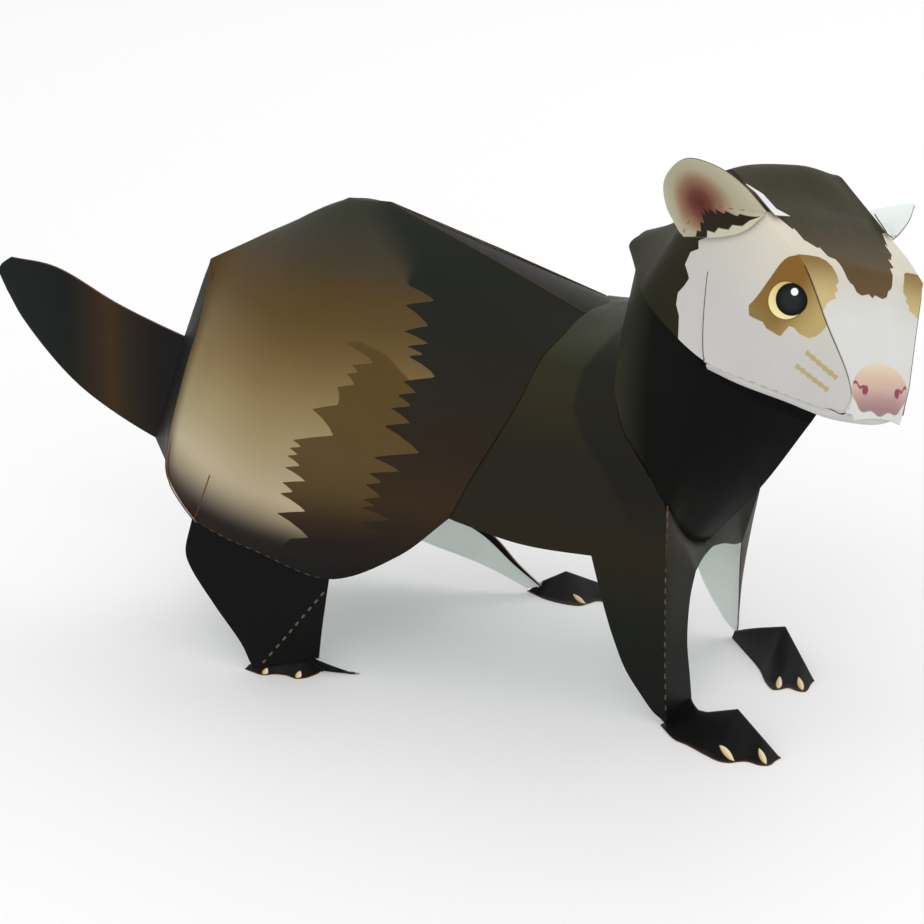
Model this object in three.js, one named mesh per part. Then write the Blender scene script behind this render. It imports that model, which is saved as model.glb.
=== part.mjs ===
// A standing ferret folded from printed card, about 300 mm long.
// Every part is a sheet of card that is bent, creased and glued along its edges.
// X runs from tail to head, Y to the ferret's left, Z up, in millimetres.
import * as THREE from 'three';

// Card and joints
const CARD = 0.5;
const TAIL_CARD = 1.0;
const JOINT = 0.45;
const RIDGE_JOINT = 0.75;

// Back line, in the middle plane
const RUMP_X = -90.5;
const RUMP_Z = 116;
const HIP_X = -43;
const HIP_Z = 140.5;
const APEX_X = -29;
const APEX_Z = 140.5;
const SEAM_X = 37;
const SEAM_Z = 116;
const STRIP_HALF_WIDTH = 9;
const SEAM_POINT_X = 41;
const NAPE_X = 48.5;
const NAPE_Z = 118.5;

// Flanks and belly edge
const FLANK_HALF_WIDTH = 38;
const HAUNCH_HALF_WIDTH = 42;
const FOLD_REAR_X = -80.5;
const FOLD_REAR_Z = 44;
const FOLD_FRONT_X = -33;
const FOLD_FRONT_Z = 32.5;
const BELLY_X = 5;
const BELLY_Z = 56.5;

// Chest, with the point of the bow between the front legs
const CREASE_X = 72.5;
const FAR_CREASE_X = 79;
const BOW_TIP_X = 73;
const BOW_TIP_Z = 45.6;
const LEG_CUT_Z = 52;
const ANKLE_Z = 3;

// Tail
const TAIL_TOP_X = -100.5;
const TAIL_TOP_Z = 89.5;
const TAIL_LOW_X = -112;
const TAIL_LOW_Z = 54;

// Pose of the head, which turns to the ferret's right, nods and cocks
const HEAD_PLACE = [49, 2, 135];
const HEAD_TURN = -30;
const HEAD_NOD = 25;
const HEAD_COCK = -19;

// Colours of the printed card
const DARK = { color: 0x2b2b28, roughness: 0.62, metalness: 0 };
const FAWN = { color: 0x9b8b66, roughness: 0.62, metalness: 0 };
const CREAM = { color: 0xdcd6cc, roughness: 0.6, metalness: 0 };
const EAR = { color: 0xb9a78f, roughness: 0.6, metalness: 0 };

const RIGHT = -1;
const LEFT = 1;

const point = (x, y, z) => new THREE.Vector3(x, y, z);
const smooth = (value, start, end) => THREE.MathUtils.smoothstep(value, start, end);
const route = (list) => list.map(([x, y, z]) => point(x, y, z));

// Evenly spaced points on a polyline, straight or rounded through its corners
function spaced(list, steps, rounded = true) {
  const points = route(list);
  if (rounded) {
    return new THREE.CatmullRomCurve3(points, false, 'centripetal').getSpacedPoints(steps);
  }
  const path = new THREE.CurvePath();
  for (let i = 1; i < points.length; i += 1) {
    path.add(new THREE.LineCurve3(points[i - 1], points[i]));
  }
  return path.getSpacedPoints(steps);
}

// A grid of points through several ribs, straight or rounded from rib to rib.
// The first column runs straight where the sheet meets its twin along the back.
function loft(ribs, steps, rounded = true, straightFirst = false) {
  const columns = ribs[0].map((unused, j) => {
    const curved = rounded && !(straightFirst && j === 0);
    const through = ribs.map((rib) => rib[j]);
    const curve = new THREE.CatmullRomCurve3(through, false, 'centripetal');
    const column = [];
    for (let k = 0; k < ribs.length - 1; k += 1) {
      for (let s = 0; s < steps; s += 1) {
        const t = s / steps;
        column.push(curved
          ? curve.getPoint((k + t) / (ribs.length - 1))
          : through[k].clone().lerp(through[k + 1], t));
      }
    }
    column.push(through[through.length - 1].clone());
    return column;
  });
  return columns[0].map((unused, i) => columns.map((column) => column[i]));
}

const turned = (grid) => grid[0].map((unused, j) => grid.map((row) => row[j]));

// Shortens the first and last rows so that a joint stays open by that much
function shortened(grid, first, last) {
  const n = grid.length - 1;
  const pull = (edge, inner, amount) => {
    edge.forEach((p, j) => {
      const away = inner[j].clone().sub(p);
      p.addScaledVector(away.normalize(), amount);
    });
  };
  pull(grid[0], grid[1], first);
  pull(grid[n], grid[n - 1], last);
  return grid;
}

// Joint gaps along the four edges: first row, last row, first column, last column
function trimmed(grid, [first, last, start, end]) {
  const rows = shortened(grid, first, last);
  return turned(shortened(turned(rows), start, end));
}

// Thickens a grid of points into one closed sheet of card
function sheet(grid, thickness = CARD) {
  const rows = grid.length;
  const columns = grid[0].length;
  const index = (i, j) => i * columns + j;
  const middle = grid.flat();
  const faces = [];
  for (let i = 0; i < rows - 1; i += 1) {
    for (let j = 0; j < columns - 1; j += 1) {
      faces.push([index(i, j), index(i + 1, j), index(i + 1, j + 1)]);
      faces.push([index(i, j), index(i + 1, j + 1), index(i, j + 1)]);
    }
  }
  const sums = middle.map(() => point(0, 0, 0));
  const units = middle.map(() => []);
  faces.forEach((face) => {
    const [a, b, c] = face.map((k) => middle[k]);
    const normal = b.clone().sub(a).cross(c.clone().sub(a)).normalize();
    face.forEach((k) => {
      sums[k].add(normal);
      units[k].push(normal);
    });
  });
  const offsets = sums.map((sum, k) => {
    const normal = sum.normalize();
    const least = Math.min(...units[k].map((unit) => unit.dot(normal)));
    return normal.clone().multiplyScalar(thickness / 2 / Math.max(least, 0.5));
  });
  const positions = [];
  middle.forEach((p, k) => positions.push(...p.clone().add(offsets[k]).toArray()));
  middle.forEach((p, k) => positions.push(...p.clone().sub(offsets[k]).toArray()));
  const under = middle.length;
  const triangles = [];
  faces.forEach(([a, b, c]) => triangles.push(a, b, c, under + a, under + c, under + b));
  const rim = [];
  for (let j = 0; j < columns - 1; j += 1) rim.push(index(0, j));
  for (let i = 0; i < rows - 1; i += 1) rim.push(index(i, columns - 1));
  for (let j = columns - 1; j > 0; j -= 1) rim.push(index(rows - 1, j));
  for (let i = rows - 1; i > 0; i -= 1) rim.push(index(i, 0));
  rim.forEach((a, k) => {
    const b = rim[(k + 1) % rim.length];
    triangles.push(a, b, under + b, a, under + b, under + a);
  });
  const geometry = new THREE.BufferGeometry();
  geometry.setAttribute('position', new THREE.Float32BufferAttribute(positions, 3));
  geometry.setIndex(triangles);
  return facingOut(geometry);
}

// Turns a closed mesh right side out if its volume comes out negative
function facingOut(geometry) {
  const p = geometry.attributes.position;
  const index = geometry.index;
  const corner = (k) => new THREE.Vector3().fromBufferAttribute(p, index.getX(k));
  let volume = 0;
  for (let k = 0; k < index.count; k += 3) {
    volume += corner(k).dot(corner(k + 1).cross(corner(k + 2)));
  }
  if (volume < 0) {
    const flipped = Array.from(index.array);
    for (let k = 0; k < flipped.length; k += 3) {
      [flipped[k + 1], flipped[k + 2]] = [flipped[k + 2], flipped[k + 1]];
    }
    geometry.setIndex(flipped);
  }
  return geometry;
}

const ferret = new THREE.Group();
const head = new THREE.Group();
head.position.set(...HEAD_PLACE);
head.rotation.set(
  THREE.MathUtils.degToRad(HEAD_COCK),
  THREE.MathUtils.degToRad(HEAD_NOD),
  THREE.MathUtils.degToRad(HEAD_TURN),
  'ZYX',
);
head.updateMatrix();
ferret.add(head);

function add(group, name, geometry, look) {
  const material = new THREE.MeshStandardMaterial(look);
  const mesh = new THREE.Mesh(geometry, material);
  mesh.name = name;
  group.add(mesh);
}

const sided = (side, list) => list.map(([x, y, z]) => [x, side * y, z]);

// Rear edge of the flank, from the top of the rump down to the haunch fold
const RUMP_EDGE = [
  [RUMP_X, 0, RUMP_Z], [-91, 8, 98.5], [-93, 15, 84], [-95, 24, 63.5], [-94.3, 28, 54.5],
  [-87, 34, 48], [FOLD_REAR_X, FLANK_HALF_WIDTH, FOLD_REAR_Z],
];
// Front edge of the rear body sheet, from the back down to the belly edge
const SEAM_EDGE = [
  [SEAM_X, STRIP_HALF_WIDTH, SEAM_Z], [33, 20, 111], [29.7, 28, 106], [25.6, 34, 95],
  [19.3, 37, 83], [11.8, FLANK_HALF_WIDTH, 69.7], [BELLY_X, FLANK_HALF_WIDTH, BELLY_Z],
];

function rearFlank(side) {
  const steps = 16;
  const ribs = [
    RUMP_EDGE,
    [[-70, 0, 127], [-73, 17, 108], [-74, 36, 75], [-69, 41, 41.3]],
    [[HIP_X, 0, HIP_Z], [-46, 17, 124], [-50, HAUNCH_HALF_WIDTH, 82], [-56.5, 42, 38.3]],
    [[APEX_X, 0, APEX_Z], [-29.5, 17, 125], [-31, HAUNCH_HALF_WIDTH, 80],
      [FOLD_FRONT_X, 41, FOLD_FRONT_Z]],
    [[4, STRIP_HALF_WIDTH / 2, 128.6], [0, 22, 114], [-5, 40, 80], [-11, 39, 42.5]],
    SEAM_EDGE,
  ];
  const grid = loft(ribs.map((rib) => spaced(sided(side, rib), steps)), 3, true, true);
  return sheet(trimmed(grid, [JOINT, JOINT, RIDGE_JOINT, JOINT]));
}

function backStrip() {
  const tip = 0.08;
  const rows = [];
  for (let i = 0; i <= 6; i += 1) {
    const t = tip + ((1 - tip) * i) / 6;
    const row = [];
    for (let j = -2; j <= 2; j += 1) {
      const across = j / 2;
      const crown = 1 - across * across;
      const forward = (SEAM_POINT_X - SEAM_X) * crown * t ** 6;
      row.push(point(
        THREE.MathUtils.lerp(APEX_X, SEAM_X, t) + forward,
        across * STRIP_HALF_WIDTH * t,
        THREE.MathUtils.lerp(APEX_Z, SEAM_Z, t) + crown * t * 0.8,
      ));
    }
    rows.push(row);
  }
  return sheet(trimmed(rows, [JOINT, 2 * JOINT, JOINT, JOINT]));
}

// Each rump panel runs from the flank's rear edge in to the tail
function rumpPanel(side) {
  const edge = spaced(sided(side, RUMP_EDGE), 14);
  const middle = spaced(sided(side, [
    [RUMP_X, 0, RUMP_Z], [TAIL_TOP_X, 0, TAIL_TOP_Z], [TAIL_LOW_X, 0, TAIL_LOW_Z],
  ]), 14, false);
  const ribs = [edge.slice(1), middle.slice(1)];
  const gap = TAIL_CARD / 2 + JOINT + CARD;
  const grid = loft(ribs, 5, false);
  return sheet(trimmed(grid, [1.2, gap, JOINT, JOINT]));
}

function tail() {
  const shape = new THREE.Shape();
  shape.moveTo(TAIL_TOP_X - JOINT, TAIL_TOP_Z);
  shape.splineThru([
    new THREE.Vector2(-123.5, 97.3), new THREE.Vector2(-146.5, 107.5),
  ]);
  shape.lineTo(-162.5, 109);
  shape.quadraticCurveTo(-167.5, 105.5, -164.5, 98);
  shape.splineThru([
    new THREE.Vector2(-158.6, 88.2), new THREE.Vector2(-139.4, 68.5),
    new THREE.Vector2(TAIL_LOW_X - JOINT, TAIL_LOW_Z),
  ]);
  const geometry = new THREE.ExtrudeGeometry(shape, {
    depth: TAIL_CARD, bevelEnabled: false, curveSegments: 8,
  });
  geometry.rotateX(Math.PI / 2);
  geometry.translate(0, TAIL_CARD / 2, 0);
  return geometry;
}

// Creases of the front legs down to the ankle; the far one leans back on its way down
const LEG_CREASE = {
  [RIGHT]: [[CREASE_X, 37, LEG_CUT_Z], [72.7, 37, 35], [73, 36.5, 16], [73.6, 36, ANKLE_Z]],
  [LEFT]: [[FAR_CREASE_X, 37, LEG_CUT_Z], [76.4, 37, 37], [74.2, 36.7, 20], [73.6, 36, ANKLE_Z]],
};

// Inner edge of each front leg's flap, down from the corner where the web meets it,
// and the web's low edge from that corner in to the point of the bow
const LEG_INNER = {
  [RIGHT]: [[77.2, 23, LEG_CUT_Z - 7], [76.6, 25.6, 38], [76, 25.6, 24], [76.6, 24, 12]],
  [LEFT]: [[77.4, 24, 36.6], [76.5, 25.6, 31], [76, 25.6, 22], [76.6, 24, 12]],
};
const WEB_LOW = { [RIGHT]: [[76, 13, 45.4]], [LEFT]: [[77, 19, 38.5], [76.2, 9, 42]] };

// Shoulder and barrel, from the seam forward to the crease under the neck
function shoulder(side) {
  const steps = 16;
  const ribs = [
    [[SEAM_POINT_X, 0, 116.7], ...SEAM_EDGE],
    [[45.5, 0, 117.5], [44, 13, 115], [40, 30, 106], [33, 39, 85], [27.7, 38.5, 52.1]],
    [[NAPE_X, 0, NAPE_Z], [50, 13, 116.5], [54, 29, 110.5], [55, 36, 100], [56, 38.5, 88],
      [50.2, 38.5, LEG_CUT_Z - 0.3]],
    [[NAPE_X + 0.5, 0, NAPE_Z + 0.2], [51, 13, 117], [54.8, 31, 110], [55.8, 36, 100.4],
      [58.7, 38, 91.5], [64.3, 38, 82.5], [71.6, 37, 70], LEG_CREASE[side][0]],
  ];
  const grid = loft(ribs.map((rib) => spaced(sided(side, rib), steps)), 4);
  return sheet(trimmed(grid, [JOINT, JOINT, RIDGE_JOINT, JOINT]));
}

// Outline of the head's open underside, in the head's own frame, from nape to chin.
// Between it and the shoulders the front of the neck swells forward, more on the far side
const HEAD_BASE = [
  [2, 0.4, -0.9], [12, 11, -0.9], [21, 17.5, -0.9], [35, 23, -0.9], [46, 25, -1.0],
  [60, 20, -2.8], [72, 10, -2.6], [82, 0.4, -0.6],
];
const NECK_FRONT = point(0.82, 0, -0.57);
const EDGE_SWELL = 1.4;
const NECK_SWELL = { [RIGHT]: EDGE_SWELL, [LEFT]: 3.6 };

function neck(side) {
  const steps = 18;
  const low = spaced(sided(side, [
    [NAPE_X + 0.5, 0, NAPE_Z + 0.8], [51.5, 13, 117.6], [55.6, 30, 111], [56.8, 35.5, 101],
    [59.7, 37.3, 92], [65.2, 37.2, 82.7], [72.8, 36.4, 70], [73.4, 27, 60],
    [73.4, 14, 51], [BOW_TIP_X + 0.5, 0, BOW_TIP_Z],
  ]), steps);
  const high = spaced(HEAD_BASE.map(([f, l, h]) => [f, side * l, h]), steps)
    .map((p) => p.applyMatrix4(head.matrix));
  const middle = low.map((p, k) => {
    const t = k / steps;
    const swell = EDGE_SWELL + (NECK_SWELL[side] - EDGE_SWELL) * (1 - smooth(t, 0.86, 1));
    return p.clone().lerp(high[k], 0.5).addScaledVector(NECK_FRONT, swell * smooth(t, 0.6, 0.82));
  });
  const grid = loft([low, middle, high], 4);
  return sheet(trimmed(grid, [JOINT, 0, RIDGE_JOINT, RIDGE_JOINT]));
}

// Each front leg is a side panel and a front flap, folded on the line down to the ankle
function frontLeg(side) {
  const rear = spaced(sided(side, [
    [50.2, 38.5, LEG_CUT_Z - 0.9], [51.6, 38, 45.6], [54.5, 38, 35], [57.5, 38, 25.9],
    [61.1, 37.6, 16.9], [65.9, 37, 9.3], [69.8, 36.6, 5], [72.6, 36.3, ANKLE_Z + 0.2],
  ]), 12);
  const [[x, y, z], ...below] = LEG_CREASE[side];
  const crease = spaced(sided(side, [[x, y, z - 0.6], ...below]), 12);
  const inner = spaced(sided(side, [
    ...LEG_INNER[side], [77.4, 21.8, ANKLE_Z + 0.6],
  ]), 12);
  const panel = loft([rear, crease], 6, false);
  const flap = loft([crease, inner], 4, false);
  return sheet([...panel, ...flap.slice(1)]);
}

// The web between the point of the bow and the top of the front leg's flap
function chest(side) {
  const top = spaced(sided(side, [
    [73.2, 36.3, 68.6], [73.4, 27, 59], [73.4, 14, 50], [BOW_TIP_X + 0.5, 0.5, BOW_TIP_Z - 0.9],
  ]), 8);
  const [[creaseX]] = LEG_CREASE[side];
  const [[flapX, flapY, flapZ]] = LEG_INNER[side];
  const low = spaced(sided(side, [
    [creaseX + 0.7, 36.6, LEG_CUT_Z - 0.1],
    [(creaseX + flapX + 1.1) / 2, 29.8, (LEG_CUT_Z + flapZ + 0.2) / 2],
    [flapX, flapY + 0.2, flapZ + 1.1], ...WEB_LOW[side],
    [BOW_TIP_X + 1.2, 0.5, BOW_TIP_Z - 2],
  ]), 10);
  return sheet(loft([top, low], 3, false));
}

// Hind legs hang from the haunch folds; the far one is stretched forward
const HIND_LEGS = [
  {
    name: 'hind_leg_right', side: RIGHT,
    rear: [[FOLD_REAR_X, 38, 43.4], [-82, 40, 34], [-80, 41, 29.5], [-71, 43, 18.8],
      [-61, 45, 8], [-56.6, 45.8, 3.2]],
    front: [[FOLD_FRONT_X - 0.2, 41, 31.9], [-34, 41.5, 25], [-35.2, 42, 15.8], [-37.5, 40.5, 7]],
  },
  {
    name: 'hind_leg_left', side: LEFT,
    rear: [[FOLD_REAR_X, 38, 43.4], [-77, 40, 32], [-62, 41, 22], [-37, 42, 14], [-15, 43, 8],
      [-1, 45, 3]],
    front: [[FOLD_FRONT_X - 0.2, 41, 31.9], [-25, 42, 26.5], [-12.5, 43.5, 19], [-4, 45, 9.5],
      [2.5, 45.5, 3.8]],
  },
];

function hindLeg({ side, rear, front }) {
  const ribs = [spaced(sided(side, rear), 12), spaced(sided(side, front), 12)];
  return sheet(loft(ribs, 8, false));
}

// A foot is a tent of card. Its ridge runs from the ankle over the knuckles to the toes.
// The wide half slopes down to the toes' cut edge, and the other one folds down steeply.
// Both end in a flat rim on the floor, at Z = 0.
const RIM_SHARE = 0.2;
const STEEP_SIDE = 0.7;
const FEET = [
  {
    name: 'front_foot_right',
    ridge: [[76.6, -26.5, 1], [79.6, -29, 2.4], [85, -32.5, 4.8], [95.6, -36.7, 9],
      [111, -45, 0.3]],
    edge: [[74, -38.3], [79, -44.3], [83.1, -46.2], [90.5, -50.8], [95.5, -53.3], [98.6, -53],
      [100.6, -51.4], [103, -50.4], [106.9, -51.4], [109.4, -50.4], [110.4, -46.4]],
  },
  {
    name: 'front_foot_left',
    ridge: [[75.6, 32, 2], [78.5, 30.8, 5.2], [83, 28.6, 7.2], [92.2, 24.3, 10.8],
      [105.4, 11.2, 0.3]],
    edge: [[72.3, 34.1], [78.8, 25.5], [87.3, 13.8], [92.4, 4.4], [95.8, 0.6], [97.6, 1.6],
      [99.6, 3.8], [102.4, 2.6], [105, 2.8], [105.2, 9.6]],
  },
  {
    name: 'hind_foot_right',
    ridge: [[-59, -44.6, 1.2], [-50, -42.4, 3.4], [-42.7, -39.6, 5], [-36.7, -37.8, 0.3]],
    edge: [[-60.4, -45.6], [-57, -46.6], [-53, -47.8], [-49.5, -46], [-46, -45.6],
      [-42.2, -46.6], [-39.8, -45], [-38, -41.6], [-37.2, -38.8]],
    steep: [[-57, -42], [-50, -38.6], [-42, -36.4], [-33, -35.4], [-25.2, -35.9],
      [-29.9, -36.6], [-35.6, -37.2]],
  },
  {
    name: 'hind_foot_left',
    ridge: [[2.4, 46.2, 2.2], [6, 49.8, 4.6], [9.6, 52.4, 6.2], [28.5, 56.5, 0.3]],
    edge: [[-1.6, 46.1], [6.3, 41.7], [12.4, 40.3], [18.6, 40.6], [20.8, 43.4], [22.6, 46.4],
      [26.5, 46.8], [29.8, 49], [30.6, 52], [29.2, 55.2]],
  },
];

function foot({ ridge, edge, steep }) {
  const steps = 20;
  const middle = spaced(ridge, steps);
  const onFloor = (outline) => spaced(outline.map(([x, y]) => [x, y, CARD / 2]), steps);
  const wide = onFloor(edge);
  const steepSide = steep ? onFloor(steep) : middle.map((top, i) => {
    const away = top.clone().sub(wide[i]).setZ(0).normalize();
    return top.clone().addScaledVector(away, STEEP_SIDE * top.z + CARD).setZ(CARD / 2);
  });
  const half = (i, outline) => [0.4, 1 - RIM_SHARE, 1].map((share) => {
    const height = middle[i].z * (1 - share / (1 - RIM_SHARE));
    return middle[i].clone().lerp(outline[i], share).setZ(Math.max(CARD / 2, height));
  });
  const geometry = sheet(middle.map((top, i) => [
    ...half(i, wide).reverse(),
    top.clone().setZ(Math.max(CARD / 2, top.z)),
    ...half(i, steepSide),
  ]));
  const { position } = geometry.attributes;
  for (let k = 0; k < position.count; k += 1) {
    position.setZ(k, Math.max(0, position.getZ(k)));
  }
  return geometry;
}

// Head sections at growing distances f from the nape: half widths and heights.
// The crown's rear edge stands higher at its left corner than at its right one.
const HEAD_SECTIONS = [
  { f: 2, low: [6, 0], bend: [5, 4] },
  { f: 12, low: [13, 0], bend: [11, 14] },
  { f: 21, low: [19.5, 0], bend: [18, 25] },
  { f: 29, low: [24.5, 0], bend: [25, 45], bendLeft: [23.5, 50] },
  { f: 45, low: [28, 0.2], bend: [30, 45.5] },
  { f: 60, low: [28.5, 1.5], bend: [30.5, 43.5] },
  { f: 69, low: [26.5, 4], bend: [29, 42] },
  { f: 81, low: [21, 8], bend: [21.5, 32] },
  { f: 93, low: [15.5, 12], bend: [14.3, 22] },
];
const CHIN = { f: 98, half: 12, z: 14 };
const CROWN_RISE = 1.2;

const bendOn = ({ bend, bendLeft }, side) => (side === LEFT && bendLeft ? bendLeft : bend);

function cheek(side) {
  const ribs = HEAD_SECTIONS.map((section) => {
    const { f, low } = section;
    const bend = bendOn(section, side);
    return spaced([
      [f, side * low[0], low[1]],
      [f, side * ((low[0] + bend[0]) / 2 + 1), (low[1] + bend[1]) / 2],
      [f, side * bend[0], bend[1]],
    ], 6);
  });
  return sheet(trimmed(loft(ribs, 2), [0, 0, 0, JOINT]));
}

function crown() {
  const ribs = HEAD_SECTIONS.map((section) => {
    const { f } = section;
    const [right, left] = [RIGHT, LEFT].map((side) => bendOn(section, side));
    return spaced([
      [f, -right[0], right[1]], [f, 0, (right[1] + left[1]) / 2 + CROWN_RISE],
      [f, left[0], left[1]],
    ], 8);
  });
  ribs.push(spaced([
    [CHIN.f, -CHIN.half, CHIN.z + 1], [CHIN.f + 1, 0, CHIN.z + 1], [CHIN.f, CHIN.half, CHIN.z + 1],
  ], 8));
  return sheet(trimmed(loft(ribs, 2), [0, 0, JOINT, JOINT]));
}

// The lower jaw is a shallow trough between the cheeks, closed by the chin
function jaw() {
  const ribs = HEAD_SECTIONS.filter(({ f }) => f >= 60).map(({ f, low }) => {
    const half = low[0] - 1.2;
    return spaced([
      [f, -half, low[1] - 0.2], [f, -half + 3, low[1] - 3.5], [f, half - 3, low[1] - 3.5],
      [f, half, low[1] - 0.2],
    ], 8, false);
  });
  ribs.push(spaced([
    [CHIN.f - 0.5, -CHIN.half, CHIN.z - 0.5], [CHIN.f, 0, CHIN.z - 0.5],
    [CHIN.f - 0.5, CHIN.half, CHIN.z - 0.5],
  ], 8));
  return sheet(loft(ribs, 2, false));
}

// An ear is a cupped leaf of card whose foot follows a curve on the side of the head
const EAR_FOOT = [[32, 30, 23.5], [42.5, 31.6, 31], [49, 32, 38], [51.5, 32, 45.5]];
const EARS = [
  { name: 'ear_right', side: RIGHT, pocket: [31, 32.5, 35.5],
    rim: [[30.5, 31, 24], [25.5, 36, 28.5], [23.5, 41, 35.5], [29.5, 46, 46.3],
      [37, 42, 49.3], [44, 37.5, 49], [51.5, 32.5, 46.5]] },
  { name: 'ear_left', side: LEFT, pocket: [33, 32.5, 37.5],
    rim: [[30.5, 31, 24], [28, 36, 30.5], [30, 42, 38.5], [41.5, 46, 52],
      [45, 42, 52], [49, 37, 50], [51.5, 32.5, 46.5]] },
];

function ear({ side, pocket, rim }) {
  const steps = 12;
  const foot = spaced(sided(side, EAR_FOOT), steps);
  const outline = spaced(sided(side, rim), steps);
  const [px, py, pz] = sided(side, [pocket])[0];
  const fold = foot.map((p, k) => {
    const t = k / steps;
    const depth = Math.sin(Math.PI * t) ** 0.8;
    return p.clone().lerp(outline[k], 0.3).lerp(point(px, py, pz), depth * 0.55);
  });
  return sheet(loft([foot, fold, outline], 5));
}

for (const [side, name] of [[RIGHT, 'right'], [LEFT, 'left']]) {
  add(ferret, `rear_flank_${name}`, rearFlank(side), FAWN);
  add(ferret, `rump_${name}`, rumpPanel(side), DARK);
  add(ferret, `shoulder_${name}`, shoulder(side), DARK);
  add(ferret, `neck_${name}`, neck(side), DARK);
  add(ferret, `chest_${name}`, chest(side), DARK);
  add(ferret, `front_leg_${name}`, frontLeg(side), DARK);
  add(head, `cheek_${name}`, cheek(side), CREAM);
}
add(ferret, 'back_strip', backStrip(), DARK);
add(ferret, 'tail', tail(), DARK);
HIND_LEGS.forEach((leg) => add(ferret, leg.name, hindLeg(leg), DARK));
FEET.forEach((paw) => add(ferret, paw.name, foot(paw), DARK));
add(head, 'crown', crown(), CREAM);
add(head, 'jaw', jaw(), CREAM);
EARS.forEach((each) => add(head, each.name, ear(each), EAR));

// The origin is on the floor, under the middle of the whole ferret
ferret.updateMatrixWorld(true);
const size = new THREE.Box3().setFromObject(ferret, true);
const centre = size.getCenter(point(0, 0, 0));
ferret.position.set(-centre.x, -centre.y, 0);

export default ferret;
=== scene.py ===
"""A ferret folded from printed card, dressed piece by piece around its solid model.

Every piece is a thin sheet with a printed face, a plain inner face and a cut edge.
Points are drawn in millimetres, X towards the head, Y to the ferret's left, Z up,
and are moved to the model's own origin and turned into metres when a piece is made.
"""

import math

import bpy
import numpy as np
from mathutils import Matrix, Vector


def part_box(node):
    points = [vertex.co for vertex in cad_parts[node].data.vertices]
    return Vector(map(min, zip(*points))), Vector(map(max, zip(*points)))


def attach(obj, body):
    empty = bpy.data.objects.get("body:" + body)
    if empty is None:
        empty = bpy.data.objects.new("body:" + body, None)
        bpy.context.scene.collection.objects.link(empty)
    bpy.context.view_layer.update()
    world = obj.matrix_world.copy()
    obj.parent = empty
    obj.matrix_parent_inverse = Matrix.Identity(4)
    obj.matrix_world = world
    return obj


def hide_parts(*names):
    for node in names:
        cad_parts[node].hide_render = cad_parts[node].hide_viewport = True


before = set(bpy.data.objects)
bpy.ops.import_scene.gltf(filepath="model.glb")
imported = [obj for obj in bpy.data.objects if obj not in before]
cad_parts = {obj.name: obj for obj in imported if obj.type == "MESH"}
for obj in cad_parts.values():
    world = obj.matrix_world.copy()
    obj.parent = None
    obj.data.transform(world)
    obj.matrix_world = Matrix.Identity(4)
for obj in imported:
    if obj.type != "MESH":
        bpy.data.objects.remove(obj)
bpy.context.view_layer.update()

# Drawing millimetres to the model's metres
MM = 0.001
TAIL_FRONT_X = -100.95
tail_low, tail_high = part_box("tail")
SHIFT = np.array([tail_high.x / MM - TAIL_FRONT_X, (tail_low.y + tail_high.y) / 2 / MM, 0.0])

# Card
CARD = 0.36
TUCK_DEPTH = 0.45
TUCK_REACH = 3.0
SHARP_ANGLE = math.radians(30)

# Back line, in the middle plane
RUMP = (-90.5, 0, 116)
HIP = (-43, 0, 140.5)
APEX = (-29, 0, 140.5)
SEAM_X = 37
SEAM_Z = 116
STRIP_HALF_WIDTH = 9
SEAM_POINT_X = 41
NAPE_X = 48.5
NAPE_Z = 118.5

# Flanks
FLANK_HALF_WIDTH = 38
HAUNCH_HALF_WIDTH = 42
FOLD_REAR = (-80.5, 38, 44)
FOLD_FRONT = (-33, 41, 32.5)

# Chest and front legs
CREASE_X = 72.5
FAR_CREASE_X = 79
BELLY_Z = 52

# Tail
TAIL_TOP = (-100.5, 0, 89.5)
TAIL_LOW = (-112, 0, 54)
TAIL_LAYER_GAP = 0.5

# Pose of the head: its frame has F to the nose, L to its left and H up
HEAD_PLACE = np.array([49.0, 2.0, 135.0])
HEAD_COCK = math.radians(-19)
HEAD_NOD = math.radians(25)
HEAD_TURN = math.radians(-30)

RIGHT = -1
LEFT = 1
SIDES = ((RIGHT, "right"), (LEFT, "left"))


# Curves and grids of points

def rounded(points, per_piece):
    """Points on a centripetal Catmull-Rom curve, the same number on each piece."""
    p = np.array(points, float)
    p = np.vstack([2 * p[0] - p[1], p, 2 * p[-1] - p[-2]])
    out = []
    for a, b, c, d in zip(p[:-3], p[1:-2], p[2:-1], p[3:]):
        knots = [0.0]
        for start, end in ((a, b), (b, c), (c, d)):
            knots.append(knots[-1] + max(np.linalg.norm(end - start), 1e-6) ** 0.5)
        t0, t1, t2, t3 = knots
        t = np.linspace(t1, t2, per_piece, endpoint=False)[:, None]
        ab = a * (t1 - t) / (t1 - t0) + b * (t - t0) / (t1 - t0)
        bc = b * (t2 - t) / (t2 - t1) + c * (t - t1) / (t2 - t1)
        cd = c * (t3 - t) / (t3 - t2) + d * (t - t2) / (t3 - t2)
        abc = ab * (t2 - t) / (t2 - t0) + bc * (t - t0) / (t2 - t0)
        bcd = bc * (t3 - t) / (t3 - t1) + cd * (t - t1) / (t3 - t1)
        out.append(abc * (t2 - t) / (t2 - t1) + bcd * (t - t1) / (t2 - t1))
    out.append(p[-2][None])
    return np.vstack(out)


def along_line(points):
    """Distance along a line of points, from its first one."""
    steps = np.linalg.norm(np.diff(points, axis=0), axis=1)
    return np.concatenate([[0.0], np.cumsum(steps)])


def spaced(points, steps, soft=True):
    """Evenly spaced points on a route, rounded or straight through its corners."""
    route = rounded(points, 24) if soft else np.array(points, float)
    distance = along_line(route)
    wanted = np.linspace(0, distance[-1], steps + 1)
    return np.stack([np.interp(wanted, distance, route[:, k]) for k in range(3)], 1)


def sided(side, points):
    """The same points on one side of the ferret."""
    return [(x, side * y, z) for x, y, z in points]


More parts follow.
